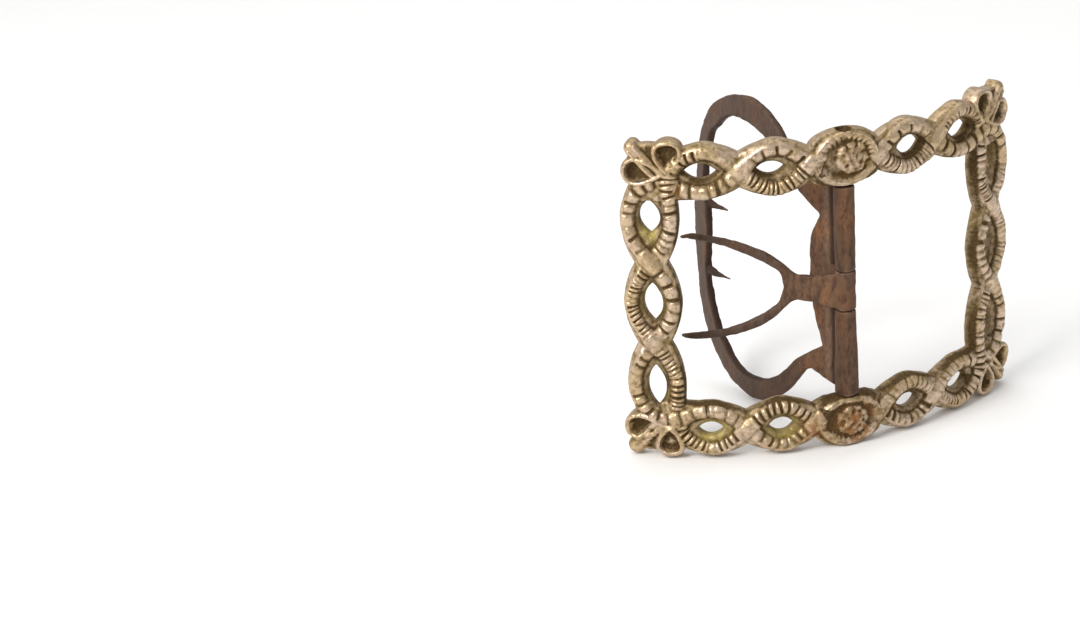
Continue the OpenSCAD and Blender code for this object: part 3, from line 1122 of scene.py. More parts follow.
    def corner_strands(self, u_way: int, v_way: int) -> list[Strand]:
        """Makes the two strands that turn a corner.

        Args:
            u_way: 1 for a corner on the right, -1 on the left.
            v_way: 1 for a corner at the top, -1 at the bottom.
        Returns:
            The strands.
        """
        strands = []
        inner_over = u_way != v_way
        for line, over, outer_first in (
            (self.inner_turn, inner_over, True),
            (self.outer_turn, not inner_over, False),
        ):
            points = smooth_line(line, 8)[8:-8] + (self.half_u, self.half_v)
            place = (np.array(self.turn_crossing) + (self.half_u, self.half_v)) * (u_way, v_way)
            share = np.linspace(0, 1, len(points))
            outer = ease(1 - share * 2.2) if outer_first else ease(share * 2.2 - 1.2)
            ladder = Wear.COMB if u_way < 0 and v_way < 0 else Wear.LADDER
            nicks = [ladder if outer_first else Wear.COARSE] * len(points)
            seed = 200 + 10 * (u_way + 1) + (v_way + 1) + outer_first
            path = points * (u_way, v_way)
            strands.append(Strand(path, [(place, over)], nicks, outer, seed, calm=-1.0))
        return strands

    def side_bed(self, side: Side, relief: Relief) -> None:
        """Adds the bed under a side's strands.

        Args:
            side: The side.
            relief: The casting's plan and heights.
        """
        along, out = self.side_fields(side, relief)
        loop = self.long_loop if side.long else self.short_loop
        widest = self.long_loop_half if side.long else self.short_loop_half
        start = self.boss_l if side.long else loop / 2
        turn = (np.abs(along) - start) / loop
        share = turn % 1
        half = mix(self.waist, widest, 1 - (2 * share - 1) ** 2)
        if side.long:
            inner = self.boss_inner[side.way > 0] - 0.2
            half = np.where((turn < 0) & (out < 0), np.minimum(half, inner), half)
        last = (turn > 1 if side.long else turn > 0) & (share > 0.5)
        half = np.where(last & (out < 0), mix(widest, self.corner_inner, 2 * share - 1), half)
        end = start + (2 if side.long else 1) * loop
        edge = (np.abs(out) - half) * 0.9
        distance = np.maximum(edge, np.abs(along) - end)
        wave = self.amplitude(side) * np.abs(np.sin(math.pi * turn))
        bed = 2.5 - 0.25 * ease((np.abs(out) - half + 0.6) / 0.6)
        bed = mix(self.recess, bed, ease((np.abs(out) - wave) / 0.3 + 0.5))
        relief.add(distance, np.where(distance < 1, bed, 0))

    def holes(self, relief: Relief) -> Array:
        """Measures the pointed holes of all loops.

        Args:
            relief: The casting's plan and heights.
        Returns:
            How far each place is inside the nearest hole.
        """
        inside = np.full(relief.uu.shape, -99.0)
        for side in Side:
            along, out = self.side_fields(side, relief)
            for middle, (half_l, half_w, shift) in zip(self.loops(side), self.hole_sizes[side]):
                place = middle + shift
                if middle and not side.long:
                    place += math.copysign(self.hole_shift, middle)
                reach = np.abs(along - place) / half_l
                edge = half_w * (1 - reach**2.1)
                slope = 2.1 * half_w / half_l * reach**1.1
                inside = np.maximum(inside, (edge - np.abs(out)) / np.sqrt(1 + slope**2))
        return inside

    def boss(self, way: int, off: float, relief: Relief) -> None:
        """Adds a boss: a smooth rim, a ring of nicks and a worn rosette.

        Args:
            way: 1 for the upper boss, -1 for the lower one.
            off: How far the rosette sits from the boss's middle.
            relief: The casting's plan and heights.
        """
        x, y = relief.uu, relief.vv * way - self.half_v
        share = np.clip(np.abs(x) / self.boss_l, 0, 1)
        inner = self.boss_inner[way > 0]
        wide = np.where(y < 0, inner, self.boss_w)
        half = mix(self.waist, wide, (1 - share**2) ** 0.6)
        distance = np.maximum((np.abs(y) - half) * 0.9, np.abs(x) - self.boss_l)
        ring = np.hypot(x / self.boss_l, y / wide)
        angle = np.arctan2(y / wide, x / self.boss_l)
        height = mix(self.boss_floor, self.boss_crest, ease((ring - 0.56) / 0.26))
        height = np.where(ring > 0.87, self.boss_crest - ease((ring - 0.9) / 0.14), height)
        nick = np.exp(-((((angle * self.boss_nicks / (2 * math.pi)) % 1 - 0.5) / 0.2) ** 2))
        band = ease((ring - 0.58) / 0.08) * ease((0.87 - ring) / 0.06) * ease(y / 2 + 0.7)
        height = height - self.nick_depths[way > 0] * nick * band
        height = height - 0.22 * np.exp(-(((ring - 0.885) / 0.022) ** 2))
        across, below = x - off, y - (self.boss_w - inner) / 2
        grit = Grain(31 + way)
        dome = self.rosette(across, below)
        dome = dome + 0.2 * grit.at(x, y, 0.5, 0.62) + 0.12 * grit.at(x, y, 2.5, 0.33)
        on_dome = np.hypot(across, below) < self.rosette_edge
        height = np.where(on_dome, np.maximum(height, dome), height)
        relief.add(distance, np.where(distance < 1, height, 0))

    def rosette(self, x: Array, y: Array) -> Array:
        """Draws a low dome with seven petals.

        Args:
            x: Distance along the side from its middle.
            y: Distance outwards from its middle.
        Returns:
            Heights.
        """
        far = np.hypot(x, y)
        petals = 0.5 + 0.5 * np.cos(7 * np.arctan2(y, x) + 0.6)
        dome = 2.6 + 0.95 * np.sqrt(np.clip(1 - (far / self.rosette_reach) ** 2, 0, 1))
        return dome - 0.24 * (1 - petals) * ease((far - 0.8) / 0.6) + 0.08 * np.cos(far * 5)

    def petal(self, tip: tuple[float, float], turn: float, length: float, width: float) -> Array:
        """Draws a teardrop.

        Args:
            tip: Its point.
            turn: Its direction in degrees.
            length: Length from the point to the round end.
            width: Greatest width.
        Returns:
            The outline.
        """
        a = (np.arange(48) + 0.5) * 2 * math.pi / 48
        reach = (1 - np.cos(a)) / 2
        x, y = reach * length, np.sin(a) * width / 2 * reach**0.55 * 1.33
        c, s = math.cos(math.radians(turn)), math.sin(math.radians(turn))
        return np.stack([tip[0] + x * c - y * s, tip[1] + x * s + y * c], axis=1)

    def corner(self, u_way: int, v_way: int, relief: Relief) -> None:
        """Adds a corner: the web, two dished petals, and a doubled stem with a bud.

        Args:
            u_way: 1 for a corner on the right, -1 on the left.
            v_way: 1 for a corner at the top, -1 at the bottom.
            relief: The casting's plan and heights.
        """
        ways = np.array([u_way, v_way])
        corner = np.array([self.half_u, self.half_v])
        window = relief.window(np.array([corner - 9, corner + 6]) * ways, 0.5)
        uu, vv = relief.uu[window] * u_way, relief.vv[window] * v_way
        low = corner - self.corner_inner
        over = [uu - corner[0] - self.corner_outer, vv - corner[1] - self.corner_outer]
        square = np.maximum.reduce([low[0] - uu, low[1] - vv, *over])
        relief.add(square, np.where(square < 1, self.corner_top, 0), window)
        corner = corner + (self.spread_top if v_way > 0 else self.spread_bottom)
        gap = outline_distance(np.array(self.web) + corner, uu, vv)
        relief.add(gap, np.where(gap < 1, self.web_top, 0), window)
        patch = CornerPatch(relief, window, uu, vv, corner, float(u_way < 0 and v_way < 0))
        self.petals(patch)
        self.stem(patch)

    def petals(self, patch: CornerPatch) -> None:
        """Adds a corner's dished petals.

        Args:
            patch: The part of the casting round the corner.
        """
        relief, window = patch.relief, patch.window
        rim_in, rim_half = mix(0.45, 0.65, patch.worn), mix(0.5, 0.8, patch.worn)
        hollow = mix(1.0, 0.8, patch.worn)
        for tip, turn, length, width in self.leaves:
            outline = self.petal(tuple(patch.corner + tip), turn, length, width)
            gap = outline_distance(outline, patch.uu, patch.vv)
            rim = np.sqrt(np.clip(1 - ((-gap - rim_in) / rim_half) ** 2, 0, 1))
            dish = 2.65 - hollow * ease((-gap - 0.7) / 0.9)
            relief.add(gap, np.where(gap < 1, np.maximum(dish, 2.35 + 0.95 * rim), 0), window)
            top = relief.top[window]
            relief.top[window] = np.where(gap < -0.9, np.minimum(top, dish), top)

    def stem(self, patch: CornerPatch) -> None:
        """Adds a corner's doubled stem and the bud at its end.

        Args:
            patch: The part of the casting round the corner.
        """
        relief, window, bar_half = patch.relief, patch.window, 0.62
        start, end = patch.corner + (-1.3, -0.9), patch.corner + (3.2, 3.8)
        along = (end - start) / np.hypot(*(end - start))
        across = np.array([-along[1], along[0]])
        for offset in (-bar_half, bar_half):
            bar = np.array([start, end - 0.3 * along]) + across * offset
            gap, _ = path_distance(bar, patch.uu, patch.vv)
            height = self.corner_top + 0.85 * np.sqrt(np.clip(1 - (gap / bar_half) ** 2, 0, 1))
            relief.add(np.abs(gap) - bar_half, np.where(np.abs(gap) < 1, height, 0), window)
        bud = mix(1.35, 1.65, patch.worn)
        gap, _ = path_distance(np.array([end - 2.2 * along, end]), patch.uu, patch.vv)
        dome = 1.75 + 1.2 * np.sqrt(np.clip(1 - (gap / bud) ** 2, 0, 1))
        relief.add(np.abs(gap) - bud, np.where(np.abs(gap) < 2.3, dome, 0), window)

    def age(self, relief: Relief) -> Array:
        """Pits and wears the front.

        Args:
            relief: The casting's plan and heights.
        Returns:
            How corroded each place of the plan is, from 0 to 1.
        """
        eaten = np.maximum(spotted(relief.uu, relief.vv, self.worn_spots, 2), 0.22)
        grain = Grain(11)
        fine = grain.rough(relief.uu, relief.vv, 0.3, 0.8)
        coarse = grain.rough(relief.uu, relief.vv, 5.3, 1.9)
        soft = relief.blurred(relief.top, 0.5)
        relief.top = mix(relief.top, soft, np.clip(eaten - 0.25, 0, 0.8))
        relief.top += 0.28 * np.clip(eaten - 0.55, 0, 1) * grain.at(relief.uu, relief.vv, 2.1, 1.25)
        relief.top += 0.035 * fine + 0.05 * coarse + eaten * (0.15 * fine + 0.2 * coarse)
        rng = np.random.default_rng(5)
        for _ in range(900):
            place = np.array([rng.uniform(-40, 40), rng.uniform(-29, 29)])
            size, depth = rng.uniform(0.14, 0.32), rng.uniform(0.08, 0.3)
            window = relief.window(place[None], 1)
            gap = np.hypot(relief.uu[window] - place[0], relief.vv[window] - place[1]) / size
            relief.top[window] -= depth * np.exp(-(gap**2)) * mix(0.3, 1, eaten[window])
        return eaten

    def carve(self) -> tuple[Relief, Array, Array]:
        """Works out the plan and the heights of the whole front.

        Returns:
            The relief, how corroded each place is, and the distance inside the holes.
        """
        relief = Relief(self.half_u + 6.2, self.half_v + 6.2, self.step)
        for side in Side:
            self.side_bed(side, relief)
        inside = self.holes(relief)
        bevel = self.recess - 0.3 + 0.6 * ease(-inside / (self.step_w + 0.25))
        relief.top = np.where(inside > -self.step_w - 0.25, np.minimum(relief.top, bevel), relief.top)
        strands = [s for side in Side for s in self.side_strands(side)]
        for u_way in (-1, 1):
            for v_way in (-1, 1):
                self.corner(u_way, v_way, relief)
                strands += self.corner_strands(u_way, v_way)
        for strand in strands:
            strand.lay(relief)
        for way, off in ((-1, 0.5), (1, 1.1)):
            self.boss(way, off, relief)
        relief.cut(inside)
        return relief, self.age(relief), inside

    def solid(self, relief: Relief) -> tuple[Array, Array]:
        """Makes the casting on a grid in three directions.

        Args:
            relief: The casting's plan and heights.
        Returns:
            The field, less than 0 inside, and the places of its layers above the back.
        """
        w = np.arange(-0.42, 4.1, self.step).astype(np.float32)
        plan = relief.plan[:, :, None].astype(np.float32)
        top = relief.top[:, :, None].astype(np.float32)
        back = Grain(12).rough(relief.uu, relief.vv, 0, 2.2)[:, :, None].astype(np.float32)
        body = soft_max(plan, w - top, 0.34)
        body = soft_max(body, 0.05 * back - w, 0.3)
        pin_w = self.bow.thick - self.bow.pin_depth
        reach = np.hypot(relief.uu[:, :, None], w - pin_w).astype(np.float32)
        end = np.abs(relief.vv[:, :, None]) - self.half_v - self.boss_w
        bore = mix(0.95, 1.3, ease((end + 1.2) / 1.0)).astype(np.float32)
        return np.maximum(body, bore - reach), w

    def build(self) -> bpy.types.Object:
        """Builds the frame.

        Returns:
            The piece.
        """
        relief, eaten, inside = self.carve()
        body, w = self.solid(relief)
        points, quads = skin(body)
        flat = points * self.step + (relief.u[0], relief.v[0], w[0])
        flat, faces = thinned("frame_casting", flat, quads, self.budget)
        tones = self.tones(flat, relief, eaten, inside)
        return piece_from("frame_casting", self.bow.wrap(flat), faces, tones)

    def tones(self, flat: Array, relief: Relief, eaten: Array, inside: Array) -> dict[str, Array]:
        """Finds what the finish follows: patina and painted shade in hollows, crests, the back, crust and
        rust.

        Args:
            flat: Points of the casting before it is bowed.
            relief: The casting's plan and heights.
            eaten: How corroded each place of the plan is.
            inside: Distance inside the holes.
        Returns:
            A value for each point, by name.
        """
        low = relief.blurred(relief.top, 0.6) - relief.top
        wide = relief.blurred(relief.top, 1.6) - relief.top
        depth = relief.sample(relief.top, flat) - flat[:, 2]
        outer = ease(np.maximum(np.abs(flat[:, 0]) - self.half_u, np.abs(flat[:, 1]) - self.half_v))
        front = ease(1.4 - depth / mix(0.5, 0.2, outer))
        beyond = np.maximum(np.abs(relief.uu) - self.half_u, np.abs(relief.vv) - self.half_v)
        # Darkness of the hollows: patina and painted shade, eased near the outer edges, which are lit.
        lit = 1 - 0.7 * ease(beyond / 2) * (1 - ease(-relief.plan / 0.9))
        deep = np.maximum(np.maximum(low / 0.26, wide / 0.6) * lit, relief.line)
        # Painted shade on the walls facing inwards; the outer walls stay light and the back is darker.
        back = ease(0.6 - flat[:, 2])
        wall_shade = mix(mix(0.45, 0.04, outer), 0.5, back)
        hollow = relief.sample(deep, flat) * front + wall_shade * (1 - front)
        bevel = relief.sample(ease((inside + self.step_w + 0.3) / 0.3), flat)
        hollow = np.maximum(hollow, bevel * 0.55)
        for u, v, reach_u, reach_v, most in self.dirt_spots:
            far = np.hypot((flat[:, 0] - u) / reach_u, (flat[:, 1] - v) / reach_v)
            hollow += most * np.exp(-(far**4))
        # Painted shade: darkest inside the pin's bore.
        pin_w = self.bow.thick - self.bow.pin_depth
        hollow = np.maximum(hollow, np.hypot(flat[:, 0], flat[:, 2] - pin_w) < 1.5)
        crust = spotted(flat[:, 0], flat[:, 1], self.crust_spots, 4)
        rust = spotted(flat[:, 0], flat[:, 1], self.rust_spots, 2)
        return {
            "hollow": hollow,
            "crest": relief.sample(-low / 0.16, flat) * front,
            "plain": ease((0.5 - flat[:, 2]) / 0.4),
            "deposit": crust * mix(0.15, 1, bevel),
            "rust": rust * mix(0.6, 1, relief.sample(eaten, flat)),
        }


# The iron parts: outlines of the upper half, as shares of a part's reach and of half its height

CHAPE_OUTER = (
    (0.196, 0.615), (0.242, 0.655), (0.306, 0.78), (0.368, 0.868), (0.455, 0.955), (0.536, 0.996),
    (0.612, 0.998), (0.71, 0.962), (0.8, 0.893), (0.868, 0.806), (0.913, 0.722), (0.952, 0.63),
    (0.992, 0.35), (1, 0),
)
CHAPE_INNER = (
    (0.912, 0), (0.905, 0.36), (0.83, 0.645), (0.77, 0.73), (0.72, 0.798), (0.644, 0.852),
    (0.55, 0.852), (0.455, 0.806), (0.364, 0.71), (0.278, 0.575), (0.165, 0.462), (0.136, 0.425),
    (0.15, 0.36), (0.184, 0.15), (0.196, 0),
)
FORK_OUTER = (
    (0.28, 0.235), (0.325, 0.31), (0.38, 0.47), (0.46, 0.65), (0.565, 0.79), (0.69, 0.91),
    (0.845, 0.99), (0.94, 1), (0.985, 0.97), (1, 0.93),
)
FORK_INNER = (
    (0.985, 0.9), (0.915, 0.88), (0.79, 0.82), (0.67, 0.72), (0.545, 0.56), (0.44, 0.39),
    (0.39, 0.25), (0.365, 0),
)


@dataclass
class Forging:
    """What the two swinging iron parts share."""

    knuckle_r: float = 1.8
    bore_r: float = 0.96
    end_gap: float = 0.15
    fork_knuckle_half: float = 3.6
    stand: float = 29.4
    step: float = 0.2

    def sized(self, shares: tuple, reach: float, half: float) -> Array:
        """Turns an outline of shares into a smooth line of real sizes."""
        return smooth_line(np.array(shares) * (reach, half), 4)

    def mirrored(self, line: Array) -> Array:
        """Returns the other half of an outline, walked back to the start."""
        return line[::-1] * (1, -1)

    def axes(self, low: tuple[float, float, float], high: tuple[float, float, float]) -> list[Array]:
        """Spreads a grid between two corners and returns its three open axes."""
        lines = [np.arange(a, b, self.step) for a, b in zip(low, high)]
        return [lines[0][:, None, None], lines[1][None, :, None], lines[2][None, None, :]]

    def swing(self, points: Array, turn: float) -> Array:
        """Swings points about the pin and stands them up.

        Args:
            points: Rows of reach, height and place through the part, towards its front.
            turn: Swing away from the frame's plane, in degrees.
        Returns:
            Rows of x, y and z.
        """
        a = math.radians(180 - turn)
        x, y = points[:, 0], points[:, 2]
        turned = [x * math.cos(a) - y * math.sin(a), x * math.sin(a) + y * math.cos(a)]
        return np.stack([*turned, points[:, 1] + self.stand], axis=1)

    def forge(
        self, name: str, body: Array, axes: list[Array], centre: float, budget: int
    ) -> tuple[Array, Array, dict]:
        """Hammers and rusts a body, and lays its skin.

        Args:
            name: Name of the piece.
            body: The field, less than 0 inside.
            axes: The grid's three axes.
            centre: Height of the pin's axis through the part.
            budget: Most triangles to keep.
        Returns:
            Points, triangles and tones.
        """
        grain = Grain(len(name))
        x, y, z = axes
        body = body + 0.07 * grain.rough(x, y, z, 2.6) + 0.035 * grain.at(x, y, z, 0.7)
        points, quads = skin(body.astype(np.float32))
        points = points * self.step + [axis.ravel()[0] for axis in axes]
        points, faces = thinned(name, points, quads, budget)
        return points, faces, self.tones(points, body, axes, centre)

    def tones(self, points: Array, body: Array, axes: list[Array], centre: float) -> dict[str, Array]:
        """Finds worn edges, painted shade in concave places and on the knuckles, and what lies near the
        pin.

        Args:
            points: Points of the skin.
            body: The field.
            axes: The grid's three axes.
            centre: Height of the pin's axis through the part.
        Returns:
            A value for each point, by name.
        """
        index = [(points[:, i] - axes[i].ravel()[0]) / self.step for i in range(3)]
        cell = [np.clip(np.round(c).astype(int), 2, n - 3) for c, n in zip(index, body.shape)]
        around = sum(
            body[cell[0] + i, cell[1] + j, cell[2] + k]
            for i, j, k in ((2, 0, 0), (-2, 0, 0), (0, 2, 0), (0, -2, 0), (0, 0, 2), (0, 0, -2))
        )
        bulge = around / 6 - body[tuple(cell)]
        # Painted shade: the hollow tone is darker where the surface is concave, and a little on the
        # knuckles.
        round_part = np.hypot(points[:, 0], points[:, 2] - centre) < self.knuckle_r + 0.12
        return {
            "edge": ease((bulge - 0.05) / 0.09),
            "hollow": np.maximum(ease((-0.02 - bulge) / 0.12), 0.14 * round_part),
            "near": ease((16 - points[:, 0]) / 10),
        }


@dataclass
class Chape(Forging):
    """The loop of iron that grips the lower strap: knuckles, leaf, arms, far bar and teeth."""

    reach: float = 43.4
    half: float = 28.8
    thick: float = 1.4
    own_bow: float = 90.0
    turn: float = 61.0
    upper_end: float = 19.15
    lower_end: float = 19.6
    flare: float = 0.3
    tooth_l: float = 6.2
    tooth_root: float = 39.7
    tooth_pitch: float = 13.6
    tooth_drop: float = 1.7
    tooth_bend: float = 18.0
    # Half width and half thickness of a tooth, at its root and at its point
    tooth_half: tuple = (1.15, 0.16)
    tooth_depth: tuple = (0.62, 0.2)
    notch: float = 2.4
    crease: float = 0.45
    # What hand work has moved: the upper arch leans and is higher, the far bar and the leaf are wider
    lean: float = 1.3
    arch_rise: float = 0.9
    window_rise: float = 0.6
    bar_growth: float = 1.5
    leaf_growth: float = 0.9
    budget: int = 110000

    @property
    def knuckle_start(self) -> float:
        """Distance from the middle to the near end of either knuckle."""
        return self.fork_knuckle_half + self.end_gap

    def outlines(self) -> tuple[Array, Array]:
        """Draws the sheet.

        Returns:
            The outline of the sheet and of its window.
        """
        outer = self.sized(CHAPE_OUTER, self.reach, self.half)
        inner = self.sized(CHAPE_INNER, self.reach, self.half)
        start = 0.3
        foot = [(3.2, 0.3 - self.lower_end), (start, -self.lower_end)]
        whole = np.vstack([(start, self.upper_end), outer, self.mirrored(outer), *foot])
        return whole, np.vstack([inner, self.mirrored(inner)])

    def teeth(self, x: Array, y: Array, z: Array) -> Array:
        """Measures the two teeth on the far bar.

        Args:
            x: Reach from the pin.
            y: Height from the middle.
            z: Place through the sheet, from its back.
        Returns:
            The field, less than 0 inside a tooth.
        """
        root = self.tooth_root
        fall = math.tan(math.radians(self.tooth_bend)) * 0.8
        nearest = np.full(np.broadcast(x, y, z).shape, 9.0)
        for side in (-1, 1):
            share = np.clip((root - x) / self.tooth_l, 0, 1)
            middle = self.thick / 2 - fall * share * self.tooth_l * 0.8
            half_y = mix(*self.tooth_half, share**0.85)
            half_z = mix(*self.tooth_depth, share)
            dy = (y - side * self.tooth_pitch / 2 + self.tooth_drop) / half_y
            dz = (z - middle) / half_z
            body = (np.hypot(dy, dz) - 1) * np.minimum(half_y, half_z)
            ends = np.maximum(x - root - 0.6, root - self.tooth_l - x)
            nearest = np.minimum(nearest, np.maximum(body, ends))
        return nearest

    def plan(self, x: Array, y: Array) -> tuple[Array, Array]:
        """Measures the sheet's plan.

        Args:
            x: Reach from the pin.
            y: Height from the middle.
        Returns:
            Distance outside the sheet, and distance inside its window.
        """
        whole, window = self.outlines()
        lean = self.lean * ease((y - 2) / 12) * ease((x - 12) / 8)
        outside = outline_distance(whole, x + lean, y - self.arch_rise * ease((y - 18) / 8))
        bar = self.bar_growth * np.exp(-(((y - 2) / 8.5) ** 2)) * ease((x - 25) / 10)
        leaf = self.leaf_growth * np.exp(-(((y - 7.5) / 3.5) ** 2)) * ease((16 - x) / 6)
        within = -outline_distance(window, x + bar - leaf, y - self.window_rise * ease((y - 14) / 8))
        notch = np.maximum(x - self.notch, np.abs(y) - self.fork_knuckle_half - self.end_gap)
        return np.maximum(np.maximum(outside, within), -notch), within

    def knuckles(self, x: Array, y: Array, z: Array) -> Array:
        """Measures the two knuckles, which widen a little downwards.

        Args:
            x: Reach from the pin.
            y: Height from the middle.
            z: Place through the sheet, from its back.
        Returns:
            The field, less than 0 inside a knuckle.
        """
        start = self.knuckle_start
        ends = np.maximum(start - np.abs(y), np.maximum(y - self.upper_end, -y - self.lower_end))
        radius = self.knuckle_r + self.flare * ease((-y - start) / 13)
        return soft_max(np.hypot(x, z - self.knuckle_r) - radius, ends, 0.25)

    def build(self) -> bpy.types.Object:
        """Builds the chape.

        Returns:
            The piece.
        """
        axes = self.axes((-2.6, -30, -2.6), (45, 30.8, 4.4))
        x, y, z = axes
        plan, within = self.plan(*np.broadcast_arrays(x[:, :, 0], y[:, :, 0]))
        sheet = soft_max(plan[:, :, None], np.abs(z - self.thick / 2) - self.thick / 2, 0.5)
        sheet = np.minimum(sheet, self.teeth(x, y, z))
        beside = ease((np.abs(y) - self.knuckle_start) / 0.5)
        crease = np.exp(-(((x - 2.1) / 0.4) ** 2)) * beside * self.crease
        body = np.minimum(sheet + crease * (z > 0.5), self.knuckles(x, y, z))
        body = np.maximum(body, self.bore_r - np.hypot(x, z - self.knuckle_r))
        points, faces, tones = self.forge("chape_forging", body, axes, self.knuckle_r, self.budget)
        index = [((points[:, i] - axes[i].ravel()[0]) / self.step).astype(int) for i in (0, 1)]
        cell = tuple(np.clip(line, 0, None) for line in index)
        self.shade(points, within[cell], tones)
        return piece_from("chape_forging", self.swing(self.bowed(points), self.turn), faces, tones)

    def shade(self, points: Array, within: Array, tones: dict[str, Array]) -> None:
        """Paints shade on the window's walls, the crease and the knuckles, and a highlight on the leaf.

        Args:
            points: Points of the flat chape.
            within: Distance inside the window at each of them.
            tones: The tones, which are changed.
        """
        x, y, z = points.T
        # Painted shade on the window's walls.
        wall_shade = ease((within + 0.4) / 0.2) * (x > 8)
        front = ease((z - 0.6) / 0.3) * (np.abs(y) > self.knuckle_start)
        # Painted shadow in the crease beside the knuckles.
        beside = ease(1.3 - np.abs(x - 2.9) / 0.7) * front
        # Painted highlight on a band of the leaf next to the knuckles.
        leaf_highlight = 0.3 * np.exp(-(((x - 4.3) / 0.6) ** 2)) * front
        # Painted shade on the knuckles, darker on one side.
        on_tube = np.hypot(x, z - self.knuckle_r) < self.knuckle_r + 0.5
        turned = (0.73 * x + 0.68 * (z - self.knuckle_r)) / self.knuckle_r
        tube = mix(0.14, 0.42, ease((turned + 0.05) / 0.4)) * on_tube
        tones["hollow"] = np.maximum.reduce([tones["hollow"], 0.85 * wall_shade, beside, tube])
        # The painted highlight goes into the edge tone, with the worn edges.
        tones["edge"] = np.maximum(tones["edge"], leaf_highlight)

    def bowed(self, points: Array) -> Array:
        """Bends the flat chape to its own bow.

        Args:
            points: Rows of reach, height and place through the sheet.
        Returns:
            The bent points.
        """
        angle = np.arcsin(np.clip(points[:, 0] / (self.own_bow + self.thick / 2), -1, 1))
        radius = self.own_bow + points[:, 2]
        depth = radius * np.cos(angle) - self.knuckle_r - self.own_bow
        return np.stack([radius * np.sin(angle), points[:, 1], depth], axis=1)


@dataclass
class Fork(Forging):
    """The two-pronged tongue: knuckle, neck and two curved prongs."""

    reach: float = 28.4
    half: float = 10.0
    thick: float = 1.5
    tip_thick: float = 1.0
    turn: float = 32.0
    upper_trim: float = 1.012
    lower_stretch: float = 1.03
    # The neck's outline at the knuckle, and how far hand work has raised the neck
    neck: tuple = ((0.3, 3.3), (2.4, 3.1), (4.6, 2.55))
    neck_rise: float = 0.6
    budget: int = 60000

    def plan(self, x: Array, y: Array) -> Array:
        """Measures the fork's plan.

        Args:
            x: Reach from the pin.
            y: Height from the middle.
        Returns:
            Distance outside the fork.
        """
        outer = self.sized(FORK_OUTER, self.reach, self.half)
        inner = self.sized(FORK_INNER, self.reach, self.half)
        upper = np.vstack([outer, inner])
        neck = np.array(self.neck)
        whole = np.vstack([neck, upper, self.mirrored(upper), self.mirrored(neck)])
        grown = mix(self.lower_stretch, self.upper_trim, ease(y / 4 + 0.5))
        rise = self.neck_rise * np.exp(-(((x - 9) / 5) ** 2))
        return outline_distance(whole, x / grown, y - rise)

    def build(self) -> bpy.types.Object:
        """Builds the fork.

        Returns:
            The piece.
        """
        axes = self.axes((-2.4, -11.2, -2.4), (30.2, 11.2, 2.6))
        x, y, z = axes
        plan = self.plan(*np.broadcast_arrays(x[:, :, 0], y[:, :, 0]))[:, :, None]
        depth = mix(self.thick, self.tip_thick, np.clip(x / self.reach, 0, 1))
        middle = self.knuckle_r - depth / 2
        blade = soft_max(plan, np.abs(z - middle) - depth / 2, 0.75)
        reach = np.hypot(x, z)
        ends = np.abs(y) - self.fork_knuckle_half
        tube = soft_max(reach - self.knuckle_r, ends, 0.25)
        body = np.maximum(np.minimum(blade, tube), self.bore_r - reach)
        points, faces, tones = self.forge("fork_forging", body, axes, 0.0, self.budget)
        return piece_from("fork_forging", self.swing(points, self.turn), faces, tones)


# The studio


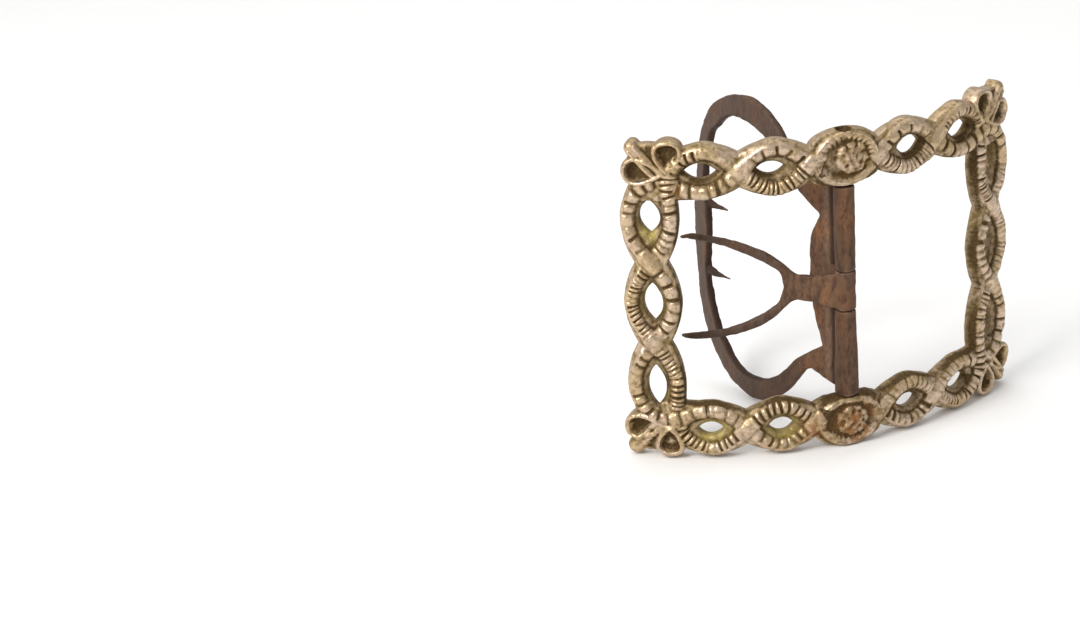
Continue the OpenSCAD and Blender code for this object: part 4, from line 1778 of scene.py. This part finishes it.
@dataclass
class Studio:
    """The pale floor, the soft lights and the camera."""

    eye: tuple = (-0.16180, -0.36225, 0.1906)
    right: tuple = (0.9501, -0.3057, -0.0622)
    up: tuple = (0.1725, 0.3487, 0.9212)
    forward: tuple = (0.2599, 0.8860, -0.3840)
    lens: float = 81.58
    floor_half: float = 3.0

    def floor(self, finish: bpy.types.Material) -> None:
        """Lays the floor, a broad sheet that rises a little at its far edges.

        Args:
            finish: The floor's material.
        """
        steps = 24
        line = np.linspace(-self.floor_half, self.floor_half, steps)
        xx, yy = np.meshgrid(line, line, indexing="ij")
        lift = 0.03 * ease((np.hypot(xx, yy) - 2) / 2)
        points = np.stack([xx, yy, lift], axis=-1).reshape(-1, 3)
        corner = np.arange(steps * steps).reshape(steps, steps)
        ring = [corner[:-1, :-1], corner[1:, :-1], corner[1:, 1:], corner[:-1, 1:]]
        faces = np.stack([r.ravel() for r in ring], axis=1)
        paper = bpy.data.objects.new("floor", mesh_from("floor", points, faces))
        paper.data.materials.append(finish)
        bpy.context.scene.collection.objects.link(paper)

    def light(self, name: str, place: tuple, aim: tuple, size: float, power: float, tint: tuple) -> None:
        """Hangs a soft square light.

        Args:
            name: Name of the light.
            place: Where it hangs.
            aim: Where it points.
            size: Length of its sides.
            power: Its power in watts.
            tint: Its colour.
        """
        lamp = bpy.data.lights.new(name, "AREA")
        lamp.shape = "SQUARE"
        lamp.size = size
        lamp.energy = power
        lamp.color = tint
        holder = bpy.data.objects.new(name, lamp)
        holder.location = place
        holder.rotation_euler = (Vector(aim) - Vector(place)).to_track_quat("-Z", "Y").to_euler()
        bpy.context.scene.collection.objects.link(holder)

    def camera(self) -> None:
        """Sets the camera where the photograph was taken."""
        lens = bpy.data.cameras.new("camera")
        lens.lens = self.lens
        lens.sensor_width = 36.0
        lens.sensor_fit = "HORIZONTAL"
        lens.clip_start = 0.01
        holder = bpy.data.objects.new("camera", lens)
        back = -Vector(self.forward)
        axes = Matrix((self.right, self.up, back)).transposed()
        holder.matrix_world = Matrix.Translation(self.eye) @ axes.to_4x4()
        bpy.context.scene.collection.objects.link(holder)
        bpy.context.scene.camera = holder

    def world(self) -> None:
        """Lights the room softly, brighter from above."""
        world = bpy.data.worlds.new("room")
        world.use_nodes = True
        tree = world.node_tree
        place = tree.nodes.new("ShaderNodeTexCoord")
        split = tree.nodes.new("ShaderNodeSeparateXYZ")
        ramp = tree.nodes.new("ShaderNodeMapRange")
        room = tree.nodes["Background"]
        tree.links.new(place.outputs["Generated"], split.inputs["Vector"])
        tree.links.new(split.outputs["Z"], ramp.inputs["Value"])
        for name, value in (("From Min", -0.2), ("From Max", 0.9), ("To Min", 0.34), ("To Max", 0.82)):
            ramp.inputs[name].default_value = value
        across = tree.nodes.new("ShaderNodeMapRange")
        tree.links.new(split.outputs["X"], across.inputs["Value"])
        for name, value in (("From Min", -1.0), ("From Max", 1.0), ("To Min", 1.2), ("To Max", 0.7)):
            across.inputs[name].default_value = value
        both = tree.nodes.new("ShaderNodeMath")
        both.operation = "MULTIPLY"
        tree.links.new(ramp.outputs["Result"], both.inputs[0])
        tree.links.new(across.outputs["Result"], both.inputs[1])
        tree.links.new(both.outputs["Value"], room.inputs["Strength"])
        room.inputs["Color"].default_value = (1, 1, 1, 1)
        bpy.context.scene.world = world

    def build(self) -> None:
        """Sets up the whole studio."""
        self.floor(PaleFloor().material())
        self.light("key", (-0.55, -0.22, 0.48), (0, 0, 0.03), 0.35, 4.4, (1.0, 0.98, 0.95))
        self.light("top", (0.10, 0.25, 0.70), (0, 0, 0.03), 0.5, 1.3, (1, 1, 1))
        self.light("side", (0.55, -0.35, 0.25), (0, 0, 0.03), 0.3, 0.2, (1, 1, 1))
        self.camera()
        self.world()
        bpy.context.scene.view_settings.view_transform = "Standard"


def dress(piece: bpy.types.Object, finish: bpy.types.Material, node: str, body: str) -> None:
    """Gives a piece its finish and its place in the model.

    Args:
        piece: The piece.
        finish: Its material.
        node: The solid that it stands for, which is hidden.
        body: The body that it moves with.
    """
    piece.data.materials.append(finish)
    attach(piece, body)
    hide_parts(node)
    log.info("dressed %s", piece.name)


def main() -> None:
    """Builds the buckle and the studio."""
    logging.basicConfig(level=logging.INFO)
    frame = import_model()
    brass = TarnishedBrass().material()
    dress(CastFrame().build(), brass, "frame", "frame")
    dress(Chape().build(), RustedIron("chape_iron").material(), "chape", "chape")
    dress(Fork().build(), RustedIron("fork_iron", rusty=0.3).material(), "fork", "fork")
    pin = frame["nodes"]["pin"]
    pin.data.materials.clear()
    pin.data.materials.append(RustedIron("pin_iron", rusty=0.2).material())
    Studio().build()


if __name__ == "__main__":
    main()
